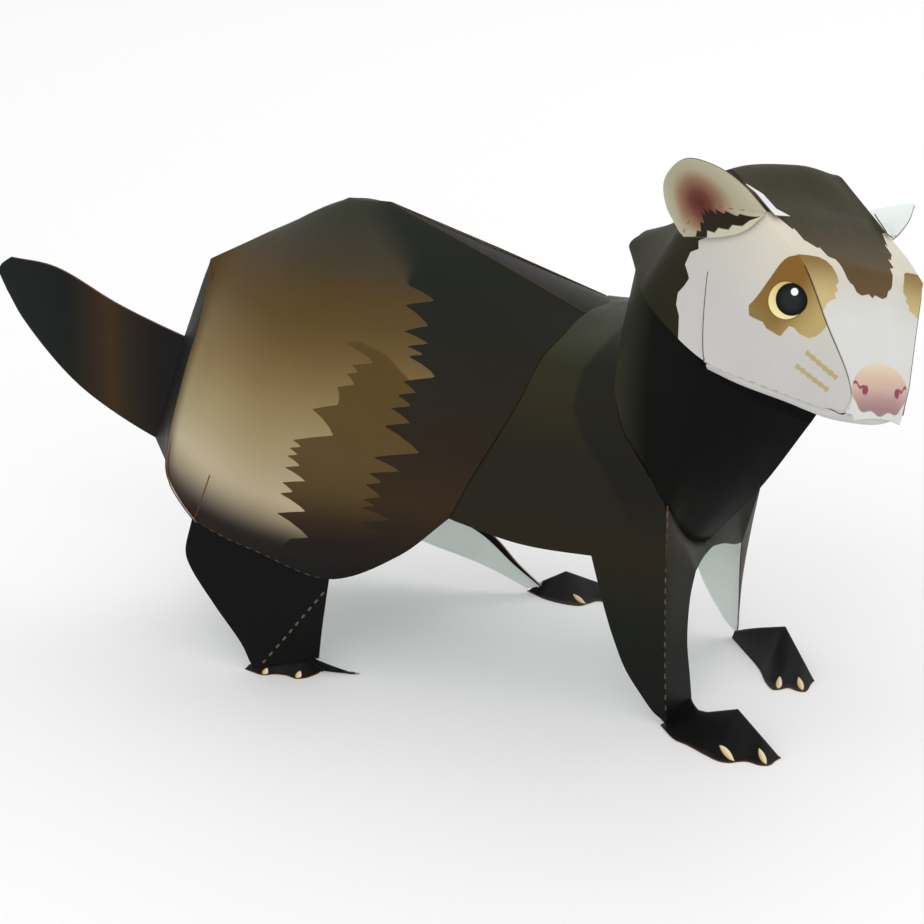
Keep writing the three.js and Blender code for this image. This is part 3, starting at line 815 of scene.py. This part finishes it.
def linear(level):
    level = level / 255
    return level / 12.92 if level <= 0.04045 else ((level + 0.055) / 1.055) ** 2.4


def ink_colour(levels):
    """Colour of the ink that shows as these levels under the studio light."""
    return (*(max((linear(level) - GLARE) / LIGHT, INK_LEAST) for level in levels), 1)


class Value:
    """A number that shader nodes work out, written with the usual signs."""

    def __init__(self, ink, socket):
        self.ink = ink
        self.socket = socket

    def __add__(self, other):
        return self.ink.math("ADD", self, other)

    def __mul__(self, other):
        return self.ink.math("MULTIPLY", self, other)

    def __sub__(self, other):
        return self.ink.math("SUBTRACT", self, other)

    def __rsub__(self, other):
        return self.ink.math("SUBTRACT", other, self)

    def __truediv__(self, other):
        return self.ink.math("DIVIDE", self, other)

    def __abs__(self):
        return self.ink.math("ABSOLUTE", self)

    __radd__ = __add__
    __rmul__ = __mul__


class Print:
    """Builds the nodes of one printed card."""

    def __init__(self, name, roughness=0.5, gloss=0.14, crease=CREASE_TONE, cut=CUT_TONE,
                 cut_width=0.3):
        self.crease = crease
        self.cut = cut
        self.cut_width = cut_width
        self.roughness = roughness
        self.material = bpy.data.materials.new(name)
        self.material.use_nodes = True
        self.tree = self.material.node_tree
        self.shader = self.tree.nodes["Principled BSDF"]
        self.shader.inputs["Specular IOR Level"].default_value = gloss
        self.colour = None
        self.place, (self.x, self.y, self.z) = self.layer("place")
        self.fold = self.layer("fold")[1]
        self.mark = self.layer("mark")[1]

    def node(self, kind, inputs=(), **settings):
        """A new node with its settings, and values or links for its inputs by name or number."""
        node = self.tree.nodes.new(kind)
        for key, value in settings.items():
            setattr(node, key, value)
        for key, value in dict(inputs).items():
            self.feed(value, node.inputs[key])
        return node

    def feed(self, value, socket):
        if isinstance(value, Value):
            value = value.socket
        if isinstance(value, bpy.types.NodeSocket):
            self.tree.links.new(value, socket)
        else:
            socket.default_value = ink_colour(value) if isinstance(value, tuple) else value

    def layer(self, name):
        """A vector stored in the mesh, whole and as its three numbers."""
        vector = self.node("ShaderNodeAttribute", attribute_name=name).outputs["Vector"]
        parts = self.node("ShaderNodeSeparateXYZ", {0: vector}).outputs
        return vector, [Value(self, part) for part in parts]

    def math(self, operation, a, b=0.0):
        node = self.node("ShaderNodeMath", {0: a, 1: b}, operation=operation)
        return Value(self, node.outputs[0])

    def ease(self, value, start, end):
        """Goes smoothly from 0 at start to 1 at end."""
        inputs = {"Value": value, "From Min": start, "From Max": end}
        node = self.node("ShaderNodeMapRange", inputs, interpolation_type="SMOOTHSTEP")
        return Value(self, node.outputs[0])

    def below(self, value, limit, soft=0.14):
        """1 where value is under the limit, with a soft edge."""
        return self.ease(self.math("SUBTRACT", value, limit), soft, -soft)

    def distance(self, a, b):
        return self.math("SQRT", a * a + b * b)

    def mix(self, share, a, b, kind="MIX"):
        node = self.node("ShaderNodeMix", data_type="RGBA", blend_type=kind)
        for value, socket in ((share, 0), (a, 6), (b, 7)):
            self.feed(value, node.inputs[socket])
        return node.outputs[2]

    def paint(self, share, colour):
        """Prints a tone or colour over what is there."""
        self.colour = self.mix(share, self.colour, colour)

    def curve(self, value, points):
        """A drawn line through the points: value along it gives height."""
        starts, heights = np.array(sorted(points), float).T
        low, rise = min(heights), max(heights) - min(heights)
        run = starts[-1] - starts[0]
        share = (value - float(starts[0])) * float(1 / run)
        node = self.node("ShaderNodeFloatCurve", {"Value": share})
        line = node.mapping.curves[0]
        places = [((x - starts[0]) / run, (y - low) / rise) for x, y in zip(starts, heights)]
        line.points[0].location = places[0]
        line.points[1].location = places[-1]
        for place in places[1:-1]:
            line.points.new(*place)
        for point in line.points:
            point.handle_type = "VECTOR"
        node.mapping.update()
        return Value(self, node.outputs[0]) * float(rise) + float(low)

    def ramp(self, value, stops):
        """Tones at growing places, evenly blended."""
        first, last = stops[0][0], stops[-1][0]
        share = (value - first) * (1 / (last - first))
        node = self.node("ShaderNodeValToRGB", {0: share})
        elements = node.color_ramp.elements
        for k, (place, levels) in enumerate(stops):
            at = (place - first) / (last - first)
            element = elements[k] if k < 2 else elements.new(at)
            element.position = at
            element.color = ink_colour(levels)
        return node.outputs[0]

    def noise(self, size, detail=2.0):
        """Soft noise, 0 to 1, with patches of about this size in millimetres."""
        inputs = {"Vector": self.place, "Scale": 1 / size, "Detail": detail}
        return Value(self, self.node("ShaderNodeTexNoise", inputs).outputs[0])

    def shade(self, amount, value):
        """Darkens and lightens the colour a little by a value around one half."""
        level = (value - 0.5) * (2 * amount) + 1.0
        grey = self.node("ShaderNodeCombineXYZ", {0: level, 1: level, 2: level})
        self.colour = self.mix(1.0, self.colour, grey.outputs[0], "MULTIPLY")

    def dashes(self, along):
        return self.ease(self.math("PINGPONG", along, DASH), 0.75, 1.1)

    def folds(self):
        """Dashed fold lines, where the ink has cracked, and solid cut lines."""
        across, along, kind = self.fold
        beside = abs(across)
        line = self.below(beside + self.noise(1.2) * 0.5, 0.44, 0.14)
        cracks = self.ease(self.noise(7), 0.3, 0.5)
        self.paint(line * self.dashes(along) * cracks * self.below(kind, 0.5) * 0.75, self.crease)
        is_cut = self.below(kind, 1.5) * self.ease(kind, 0.4, 0.6)
        self.paint(self.below(beside, self.cut_width, 0.12) * is_cut * 0.85, self.cut)
        self.paint(self.below(beside, 0.3, 0.3) * self.ease(kind, 1.5, 1.8) * 0.3, WORN_TONE)
        return self.below(beside, 0.35, 0.35)

    def drawn_line(self, start, end, half_width, soft=0.1):
        """A straight line on the side of the ferret, in X and Z, and the run along it."""
        run = np.array(end, float) - start
        length = float(np.linalg.norm(run))
        ux, uz = (run / length).tolist()
        x, z = self.x - start[0], self.z - start[1]
        along, across = x * ux + z * uz, z * ux - x * uz
        within = self.ease(along, -0.3, 0.3) * self.ease(along, length + 0.3, length - 0.3)
        return self.below(abs(across), half_width, soft) * within, along

    def finish(self, ink_noise=0.05):
        """Uneven ink, folds, paper grain and gentle waves in the card."""
        self.shade(ink_noise, self.noise(0.45, 3))
        self.shade(0.06, self.noise(16))
        crease = self.folds()
        height = self.noise(0.3, 3) * 0.012 + self.noise(24, 1) * 0.55 + crease * -0.05
        bump = self.node("ShaderNodeBump", {"Distance": MM, "Height": height})
        rough = self.noise(3) * 0.12 + (self.roughness - 0.06)
        looks = {"Base Color": self.colour, "Normal": bump.outputs[0], "Roughness": rough}
        for name, value in looks.items():
            self.feed(value, self.shader.inputs[name])
        return self.material


# Printed body. Tones run up the card by Z, or along it by X

# From about Z 124 up the pale tones turn greyer and lighter near the ridge as painted sheen
FLANK_PALE = [
    (30, (172, 160, 138)), (58, (190, 176, 148)), (66, (182, 168, 138)), (75, (163, 149, 115)),
    (85, (148, 131, 93)), (92, (132, 112, 76)), (100, (113, 93, 59)), (110, (89, 71, 41)),
    (118, (80, 64, 41)), (124, (70, 62, 47)), (132, (60, 62, 52)), (141, (54, 57, 50))]
FLANK_PALE_SIDE = [
    (58, (168, 152, 122)), (75, (146, 128, 92)), (92, (118, 98, 64)), (104, (96, 77, 46)),
    (116, (84, 67, 41)), (124, (68, 61, 46)), (141, (50, 52, 46))]
# The lowest stops of the middle and front tones darken towards the haunch fold as painted shade
FLANK_MIDDLE = [
    (34, (31, 30, 21)), (44, (38, 34, 24)), (52, (56, 46, 31)), (62, (84, 68, 44)),
    (72, (90, 73, 46)), (92, (88, 70, 41)), (108, (86, 67, 39)), (120, (66, 58, 42))]
FLANK_FRONT = [
    (34, (28, 29, 20)), (46, (44, 38, 25)), (60, (57, 46, 29)), (78, (49, 41, 28)),
    (95, (43, 39, 27)), (110, (38, 38, 29)), (124, (37, 39, 33)), (141, (40, 43, 39))]
FOLD_SLOPE = 0.242
RUMP_TONE = (72, 58, 38)
# Painted shade: the dark tone that the pale coat fades to just above the haunch fold
FOLD_SHADE_TONE = (38, 34, 25)

# Edges of the coat's patches, as heights and places: tufted, or drawn
INNER_TUFTS = [(38, -52), (57, -48), (75, -44), (86, -38), (94, -30), (103, -26)]
OUTER_TUFTS = [(38, -26), (49, -23), (62, -21), (84, -15), (100, -10), (112, -15), (121, -16)]
OUTER_TOP = [(125, -17), (131, -23), (138, -31), (150, -33)]
MIDDLE_TOP = [(-40, 102), (-33, 105), (-26, 105.4), (-18, 103), (-8, 96)]
TUFT_SIZES = [0.5, 0.75, 1.0, 1.35, 1.9]
TUFT_CHANCES = [0.2, 0.25, 0.2, 0.2, 0.15]
TUFT_SHAPE = ((0, 0), (0.22, 0.4), (0.5, 0.78), (0.72, 1), (0.84, 0.5))

# Lines on the side of the ferret, as X and Z
DART = ((-73.4, 59.8), (-79.8, 43.9))
HAMSTRING = ((-34.0, 28.8), (-54.0, 3.0))

# Dark print of the shoulders and front legs, lighter and greyer at the top as painted sheen
BODY_TONES_WITH_SHEEN = [
    (0, (28, 31, 26)), (30, (35, 37, 28)), (52, (45, 41, 27)), (70, (43, 40, 25)),
    (82, (42, 40, 25)), (96, (50, 47, 32)), (106, (49, 49, 36)), (117, (62, 66, 54))]
COLLAR = [(50, 66), (66, 60), (78, 54), (88, 47), (96, 43), (106, 44), (117, 52)]
# Dark print of the neck, lighter at the nape as painted sheen and darkest towards the head as
# painted shade
NECK_TONES_WITH_SHEEN_AND_SHADE = [(46, (62, 63, 54)), (56, (54, 54, 46)), (66, (34, 35, 28)), (84, (17, 20, 12)),
              (112, (22, 25, 20))]
TAIL_TONES = [(-168, (36, 40, 39)), (-142, (34, 36, 31)), (-133, (52, 43, 30)),
              (-127, (64, 50, 31)), (-120, (48, 40, 27)), (-110, (30, 29, 22)), (-98, (26, 27, 22))]


def torn_edge(base, step, reach, seed):
    """A drawn line of uneven pointed tufts along a base line of (height, place) points."""
    heights, places = np.array(base, float).T
    random = np.random.default_rng(seed)
    bottom, height = heights[0], heights[-1]
    points = [(bottom, places[0])]
    while height > bottom + TUFT_SIZES[-1] * step:
        length = step * random.choice(TUFT_SIZES, p=TUFT_CHANCES)
        tuft = reach * (length / step) ** 0.7 * random.uniform(0.7, 1.2)
        for share, out in TUFT_SHAPE:
            z = height - share * length
            points.append((z, np.interp(z, heights, places) + out * tuft))
        height -= length
    return points


def flank_print():
    ink = Print("flank_print")
    x, z = ink.x, ink.z
    # Painted sheen: the top stops of both pale ramps, near the ridge
    pale = ink.mix(ink.ease(x, -78, -52) * 0.6, ink.ramp(z, FLANK_PALE),
                   ink.ramp(z, FLANK_PALE_SIDE))
    # Painted shade: the pale coat darkens over the last 22 millimetres above the haunch fold
    over_fold = z - (FOLD_REAR[2] - (x - FOLD_REAR[0]) * FOLD_SLOPE)
    pale = ink.mix(ink.ease(over_fold, 3, 22), FOLD_SHADE_TONE, pale)
    from_rump = ink.mark[0]
    ink.colour = ink.mix(ink.below(from_rump, 3.4, 4.5) * 0.85, pale, RUMP_TONE)
    inner_edge = ink.curve(z, torn_edge(INNER_TUFTS, 5.0, 6.4, 12))
    outer_edge = ink.curve(z, torn_edge(OUTER_TUFTS, 5, 8, 7) + OUTER_TOP)
    under_top = ink.below(z, ink.curve(x, MIDDLE_TOP), 0.5)
    ink.paint(ink.below(inner_edge, x) * under_top, ink.ramp(z, FLANK_MIDDLE))
    softness = ink.ease(z, 119, 131) * 7 + 0.16
    in_front = ink.ease((x - outer_edge) / softness, -1, 1)
    # Painted shade: below about Z 50 the dark front tones cover the whole flank, down to the haunch
    # fold
    fold_shade = ink.ease(z, 50, 38)
    ink.paint(ink.math("MAXIMUM", in_front, fold_shade), ink.ramp(z, FLANK_FRONT))
    ink.paint(ink.drawn_line(*DART, 0.28)[0] * 0.85, CUT_TONE)
    return ink.finish()


def body_print():
    """Shoulders and front legs."""
    ink = Print("body_print")
    x, z = ink.x, ink.z
    # Painted sheen: the dark print turns lighter and greyer towards the top of the shoulders
    ink.colour = ink.ramp(z, BODY_TONES_WITH_SHEEN)
    behind_neck = ink.ease(x - ink.curve(z, COLLAR), -0.9, 1.3)
    ink.paint(behind_neck * ink.ease(z, 56, 74) * 0.75, (35, 35, 28))
    flap_tone = ink.mix(ink.ease(z, 40, 20), (47, 49, 44), (34, 36, 33))
    ink.paint(ink.ease(x, 72.8, 74.5) * ink.below(z, 50, 6) * 0.8, flap_tone)
    return ink.finish()


def neck_print():
    ink = Print("neck_print", gloss=0.05)
    # Dark print with painted sheen at the nape and painted shade where the neck faces down towards
    # the head
    ink.colour = ink.ramp(ink.x, NECK_TONES_WITH_SHEEN_AND_SHADE)
    # Painted light: lighter low at the front, where the curled edge of the neck catches the light
    ink.paint(ink.below(ink.z, 70, 18) * ink.ease(ink.x, 66, 74) * 0.6, (37, 35, 34))
    return ink.finish()


def dark_print(name, stops, axis="z"):
    """Card printed with tones that change along one axis."""
    ink = Print(name)
    ink.colour = ink.ramp(ink.x if axis == "x" else ink.z, stops)
    return ink.finish()


def leg_print():
    """Shins of the hind legs, with the dashed crease above the heel on the near one."""
    ink = Print("hind_leg_print", gloss=0.08)
    ink.colour = ink.ramp(ink.z, [(0, (22, 24, 16)), (26, (24, 25, 16)), (36, (34, 30, 20)),
                                  (44, (24, 24, 16))])
    crease, along = ink.drawn_line(*HAMSTRING, 0.3)
    ink.paint(crease * ink.dashes(along) * ink.below(ink.y, 0) * 0.7, CREASE_TONE)
    return ink.finish()


def foot_print():
    ink = Print("foot_print")
    ink.colour = ink.ramp(ink.z, [(0, (28, 29, 26)), (5, (31, 32, 30)), (11, (40, 42, 40))])
    for shape in FEET.values():
        for tip, back in shape["claws"]:
            claw(ink, tip, back)
    return ink.finish()


def claw(ink, tip, back):
    """A pale printed claw, pointed at both ends, drawn flat on the foot."""
    half = math.hypot(*back) / 2
    ux, uy = back[0] / half / 2, back[1] / half / 2
    x = ink.x - (tip[0] + back[0] / 2)
    y = ink.y - (tip[1] + back[1] / 2)
    along = x * (ux / half) + y * (uy / half)
    across = y * (ux / CLAW_HALF_WIDTH) - x * (uy / CLAW_HALF_WIDTH)
    reach = along * along + abs(across)
    ink.paint(ink.below(reach, 1.22, 0.1) * 0.6, (96, 68, 40))
    horn = ink.mix(ink.ease(across, -0.5, 0.8), (236, 222, 190), (206, 178, 124))
    ink.paint(ink.below(reach, 1.0, 0.1), horn)


# Printed face: places are distance F from the nape, L to the left and H up, as in the head

# The dark cap ends at F on each distance round the head; teeth are moves off that line
CAP_EDGE = [(0, 75.2), (3.2, 74.7), (7.5, 74.4), (10, 72.6), (12.4, 69.4), (15, 66.2),
            (18.2, 62.6), (21.2, 60), (23.4, 56), (27, 50), (31, 49), (38, 44),
            (46, 38.6), (53, 35.5), (62, 40.5), (68, 41.5), (76, 49)]
CAP_TEETH = ((1.6, -0.5), (5.2, 0.4), (8.9, -0.5), (11.2, 0.7), (13.6, -1.4), (16.4, 1.0),
             (16.9, -1.8), (21.6, 1.0), (22.4, -2.6), (41, -1.4), (43, 1.1), (49, -1.6), (51, 1.2),
             (57, -1.4), (59.5, 1.5), (65, -1.2), (70, 1.2))
CAP_TONES = [(2, (44, 44, 30)), (28, (54, 51, 36)), (52, (58, 55, 38)), (64, (80, 68, 48)),
             (76, (104, 82, 54))]
# One white paper, lighter at the top of the cheek and darker towards its low edge as painted light
# and shade
WHITE_TONES_LIT_AND_SHADED = [(0, (194, 193, 190)), (20, (194, 192, 188)), (40, (208, 203, 190)),
               (47, (218, 210, 192))]

# Patch round the eye: rear edge as H and F, the others as F and H, or F and L on the crown
PATCH_REAR = [(20, 62.4), (23, 62.5), (25, 62.9), (28, 63.2), (34.7, 63.3), (37.4, 63.3),
              (39.5, 63.6), (41, 64.2), (42.6, 65.7), (44, 67.4)]
PATCH_TOP = [(62, 46), (72, 46), (76.5, 40), (81.4, 31)]
PATCH_LOW = [(62.4, 23), (64.2, 20.8), (66, 21.2), (68.3, 21.9), (70, 21.1), (71.5, 21.3),
             (72.9, 21.4), (74.1, 21.7), (74.5, 25.6), (75.6, 26), (77.4, 25.4), (79.8, 25.8),
             (80.8, 27.4), (81.4, 29.6)]
PATCH_ON_CROWN = [(65.8, 29), (65.9, 25), (66.3, 21), (67.4, 18.6), (69.2, 17), (71, 15.9),
                  (72.6, 15.4), (73.4, 17.0), (74.4, 16.2), (75, 17.9), (76.0, 17.5), (76.6, 20.4),
                  (77.2, 21.8), (78.4, 23)]
PATCH_TONES = [(20, (142, 120, 74)), (26, (134, 106, 60)), (34, (128, 96, 54)),
               (45, (136, 98, 50))]
PATCH_SPREAD = 1.6

EYE = (71.2, 32.0)
EYE_RADIUS = 4.55
CHEEK_STRETCH = 1.122
WHISKERS = (((81.5, 22.2), (90.2, 21.1)), ((81.3, 17.4), (90.4, 17.0)))
BEAD = 0.9
NOSE_F = 94.2
NOSE_HALF_WIDTH = 13.8
NOSE_HALF_HEIGHT = 7.6
NOSTRIL_L = 7.9
NOSE_TONES = [(-7.6, (224, 212, 186)), (-4, (216, 192, 170)), (0, (205, 176, 164)),
              (3, (182, 148, 144)), (6, (160, 130, 130)), (8, (158, 132, 132))]


def face_print():
    ink = Print("face_print", gloss=0.08, cut=(58, 44, 34), cut_width=0.42)
    f, l, h = ink.x, ink.y, ink.z
    run, girth, cheek = ink.mark
    on_crown = ink.below(cheek, 0.03, 0.02)
    on_cheek = 1.0 - on_crown
    # Painted light and shade on the white paper: lighter on the crown's front plate, darker low on
    # the cheeks
    lit_and_shaded_white = ink.mix(on_crown * ink.ease(f, 68, 82), ink.ramp(h, WHITE_TONES_LIT_AND_SHADED), (216, 216, 212))
    patch = ink.mix(ink.ease(f, 70, 80), ink.ramp(h, PATCH_TONES), (182, 162, 108))
    below_top = ink.below(h, ink.curve(f, PATCH_TOP))
    above_low = ink.below(ink.curve(f, PATCH_LOW), h)
    before_rear = ink.below(ink.curve(h, PATCH_REAR), f)
    on_side = on_cheek * below_top * above_low * before_rear * ink.ease(f, 81.4, 81.1)
    ink.colour = ink.mix(on_side, lit_and_shaded_white, patch)
    inner_edge = ink.curve(f, PATCH_ON_CROWN) + ink.ease(l, -1, 1) * PATCH_SPREAD
    on_top = on_crown * ink.below(inner_edge, abs(l))
    on_top = on_top * ink.ease(f, 65.6, 65.9) * ink.ease(f, 78.4, 78.0)
    ink.paint(on_top, ink.mix(ink.ease(f, 66, 77), (134, 106, 56), (202, 182, 130)))
    teeth = [(u, np.interp(u, *zip(*CAP_EDGE)) + move) for u, move in CAP_TEETH]
    cap_tone = ink.mix(on_cheek * ink.ease(girth, 32, 60) * 0.8, ink.ramp(f, CAP_TONES),
                       (42, 42, 28))
    ink.paint(ink.below(f - ink.curve(girth, CAP_EDGE + teeth), 0), cap_tone)
    eye_print(ink, on_cheek)
    whisker_print(ink, on_cheek)
    nose_print(ink, on_crown, run)
    return ink.finish(ink_noise=0.03)


def eye_print(ink, on_cheek):
    s = (ink.x - EYE[0]) * CHEEK_STRETCH
    t = ink.z - EYE[1]
    iris = ink.distance(s + 1.12, t + 1.17)
    pupil = ink.distance(s, t)
    shine = ink.distance(s + 0.39, t - 2.32)
    ink.paint(on_cheek * ink.below(iris, 5.5) * 0.7, (104, 74, 38))
    ink.paint(on_cheek * ink.below(iris, 5.2), ink.ramp(t, [(-6, (240, 226, 168)),
                                                            (3, (206, 178, 112))]))
    depth = ink.mix(ink.below(pupil, 3.2, 1.4), (22, 20, 19), (46, 50, 50))
    ink.paint(on_cheek * ink.below(pupil, EYE_RADIUS), depth)
    ink.paint(on_cheek * ink.below(shine, 1.05), (244, 246, 246))


def whisker_print(ink, on_cheek):
    """Two beaded lines on the cheek."""
    for (f0, h0), (f1, h1) in WHISKERS:
        line = (ink.x - f0) * ((h1 - h0) / (f1 - f0)) + h0
        bead = ink.math("PINGPONG", ink.x - (f0 - BEAD), BEAD) * 0.42
        within = ink.ease(ink.x, f0 - 0.5, f0 - 0.2) * ink.ease(ink.x, f1 + 0.5, f1 + 0.2)
        row = on_cheek * ink.below(abs(ink.z - line), bead + 0.44) * within
        ink.paint(row * 0.9, (178, 160, 106))


def nose_print(ink, on_crown, run):
    """A shaded nose with a lobed low edge and two curled nostrils."""
    middle = np.interp(NOSE_F, BEND_LINES[RIGHT][:, 0], along_line(BEND_LINES[RIGHT]))
    down = run - float(middle)
    side = abs(ink.y)
    lobes = ink.math("COSINE", side * 0.75) * 0.07 * ink.ease(down, 0, 6)
    shape = ink.distance(side / NOSE_HALF_WIDTH, down / NOSE_HALF_HEIGHT) - lobes
    nose = on_crown * ink.below(shape, 1.0, 0.03) * ink.ease(ink.x, 80, 82)
    ink.paint(nose, ink.ramp(down, NOSE_TONES))
    outward = side - NOSTRIL_L
    hole = ink.below(ink.distance(outward, down - 0.6), 1.35, 0.3)
    wave = 0.4 - (outward * 0.42 + ink.math("SINE", outward * 1.9) * 0.45)
    curl = ink.below(abs(down - wave), 0.42, 0.16)
    curl = curl * ink.ease(side, NOSTRIL_L, NOSTRIL_L + 0.4) * ink.below(side, 13.2, 0.4)
    ink.paint(on_crown * nose * ink.math("MAXIMUM", hole, curl) * 0.9, (142, 52, 78))


# Edges on the ears: run along the rim, then share of the way out from the foot
EAR_DARK_EDGE = [
    (0, 0.0), (0.16, 0.02), (0.2, 0.13), (0.25, 0.10), (0.29, 0.24), (0.34, 0.2), (0.37, 0.35),
    (0.42, 0.29), (0.45, 0.38), (0.5, 0.3), (0.54, 0.37), (0.6, 0.28), (0.63, 0.35), (0.7, 0.29),
    (0.74, 0.34), (0.8, 0.24), (0.84, 0.28), (0.92, 0.14), (1, 0.0),
]
EAR_LIP = [(0, 0.0), (0.3, 0.0), (0.34, 0.1), (0.42, 0.06), (0.5, 0.11), (0.6, 0.07),
           (0.68, 0.12), (0.76, 0.07), (0.86, 0.1), (1, 0.05)]
EAR_TONES = [(0, (88, 46, 42)), (0.4, (112, 66, 58)), (0.72, (146, 114, 92)),
             (0.98, (170, 164, 138)), (1.5, (186, 182, 158))]


def ear_print():
    ink = Print("ear_print", crease=(104, 58, 52))
    along, share, _ = ink.mark
    ink.colour = ink.ramp(ink.distance((along - 0.44) * 2.5, (share - 0.42) * 2.1), EAR_TONES)
    ink.paint(ink.below(share, ink.curve(along, EAR_DARK_EDGE), 0.012), (46, 40, 27))
    ink.paint(ink.below(share, ink.curve(along, EAR_LIP), 0.012), (196, 192, 168))
    return ink.finish()


def plain_card(name, levels, roughness=0.55):
    ink = Print(name, roughness)
    ink.colour = levels
    return ink.finish(0.02)


flank_card = flank_print()
body_card = body_print()
neck_card = neck_print()
strip_card = dark_print("strip_print", [(116, (42, 44, 39)), (128, (30, 33, 28)),
                                        (141, (36, 39, 33))])
rump_card = dark_print("rump_print", [(44, (42, 38, 28)), (80, (34, 34, 26)),
                                      (116, (40, 42, 36))])
tail_card = dark_print("tail_print", TAIL_TONES, "x")
shin_card = leg_print()
face_card = face_print()
ear_card = ear_print()
foot_card = foot_print()
# Painted shade: the jaw's white card is set darker than the other white card, for the shade under
# the head
jaw_card = plain_card("jaw_shaded_white", (204, 202, 198))
inner_card = plain_card("inner_card", (234, 242, 238))
white_card = plain_card("white_card", (224, 226, 224))
cut_edge = plain_card("cut_edge", (104, 66, 42), 0.7)
grey_cut_edge = plain_card("grey_cut_edge", (112, 98, 84), 0.7)


# Building

def dress(name, card, printed, nodes=(), edge=cut_edge):
    """Turns a card into a scene object that rides on the model's body."""
    points, faces, numbers = card.solid()
    mesh = bpy.data.meshes.new(name)
    mesh.from_pydata(((points + SHIFT) * MM).tolist(), [], faces)
    for material in (printed, inner_card, edge):
        mesh.materials.append(material)
    mesh.polygons.foreach_set("material_index", numbers)
    for label, values in card.layers.items():
        layer = mesh.attributes.new(label, "FLOAT_VECTOR", "POINT")
        layer.data.foreach_set("vector", np.tile(np.array(values, np.float32), (2, 1)).ravel())
    mesh.shade_smooth()
    mesh.set_sharp_from_angle(angle=SHARP_ANGLE)
    mesh.update()
    piece = bpy.data.objects.new(name, mesh)
    bpy.context.scene.collection.objects.link(piece)
    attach(piece, "root")
    if nodes:
        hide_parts(*nodes)


dress("rear_body", rear_body(), flank_card, ("rear_flank_right", "rear_flank_left"))
dress("back_strip_card", back_strip(), strip_card, ("back_strip",))
dress("rump_card", rump(), rump_card, ("rump_right", "rump_left"))
dress("tail_card", tail(), tail_card, ("tail",))
dress("forebody", forebody(), body_card,
      ("shoulder_right", "shoulder_left", "front_leg_right", "front_leg_left",
       "chest_right", "chest_left"))
dress("neck_card", neck(), neck_card, ("neck_right", "neck_left"))
dress("hood", hood(), face_card, ("crown", "cheek_right", "cheek_left"),
      grey_cut_edge)
dress("jaw_card", jaw(), jaw_card, ("jaw",), grey_cut_edge)
for side, word in SIDES:
    dress(f"ear_card_{word}", ear(side), ear_card, (f"ear_{word}",), grey_cut_edge)
    dress(f"ear_tab_{word}", ear_tab(side), white_card, (), grey_cut_edge)
for word, (side, rear, front) in HIND_LEGS.items():
    dress(f"hind_leg_card_{word}", hind_leg(side, rear, front), shin_card,
          (f"hind_leg_{word}",))
dress("shin_hem", shin_hem(), shin_card)
for name, shape in FEET.items():
    dress(f"{name}_card", foot(shape), foot_card, (name,))


# Floor, light and camera

def floor_material():
    material = bpy.data.materials.new("floor_white")
    material.use_nodes = True
    shader = material.node_tree.nodes["Principled BSDF"]
    shader.inputs["Base Color"].default_value = (0.86, 0.86, 0.86, 1)
    shader.inputs["Roughness"].default_value = 0.7
    return material


def add_floor():
    mesh = bpy.data.meshes.new("floor")
    size = 6.0
    mesh.from_pydata([(-size, -size, 0), (size, -size, 0), (size, size, 0), (-size, size, 0)], [],
                     [(0, 1, 2, 3)])
    floor = bpy.data.objects.new("floor", mesh)
    bpy.context.scene.collection.objects.link(floor)
    mesh.materials.append(floor_material())


CAMERA_AZIMUTH = math.radians(22)
CAMERA_ELEVATION = math.radians(20)
CAMERA_DISTANCE = 900
CAMERA_TARGET = np.array([0.0, -15.0, 66.0])
FOCAL_PIXELS = 2970
IMAGE_PIXELS = 924
SENSOR = 36.0


def add_camera():
    away = np.array([
        math.sin(CAMERA_AZIMUTH) * math.cos(CAMERA_ELEVATION),
        -math.cos(CAMERA_AZIMUTH) * math.cos(CAMERA_ELEVATION),
        math.sin(CAMERA_ELEVATION)])
    data = bpy.data.cameras.new("photo_camera")
    data.sensor_width = SENSOR
    data.lens = FOCAL_PIXELS / IMAGE_PIXELS * SENSOR
    data.clip_start = 0.05
    data.clip_end = 50
    camera = bpy.data.objects.new("photo_camera", data)
    camera.location = Vector((CAMERA_TARGET + CAMERA_DISTANCE * away + SHIFT) * MM)
    camera.rotation_euler = Vector(-away).to_track_quat("-Z", "Y").to_euler()
    bpy.context.scene.collection.objects.link(camera)
    bpy.context.scene.camera = camera


def add_light(name, place, aim, size, power):
    data = bpy.data.lights.new(name, "AREA")
    data.shape = "DISK"
    data.size = size
    data.energy = power
    light = bpy.data.objects.new(name, data)
    light.location = place
    light.rotation_euler = (Vector(aim) - Vector(place)).to_track_quat("-Z", "Y").to_euler()
    bpy.context.scene.collection.objects.link(light)


add_floor()
add_camera()
add_light("key_light", (0.25, -1.1, 1.0), (0, 0, 0.08), 0.9, 3.5)
add_light("back_light", (0.2, 1.0, 1.2), (0, 0, 0.08), 1.2, 3)
world = bpy.data.worlds.new("studio")
world.use_nodes = True
world.node_tree.nodes["Background"].inputs["Color"].default_value = (1, 1, 1, 1)
world.node_tree.nodes["Background"].inputs["Strength"].default_value = 1.0
bpy.context.scene.world = world
bpy.context.scene.view_settings.view_transform = "Standard"
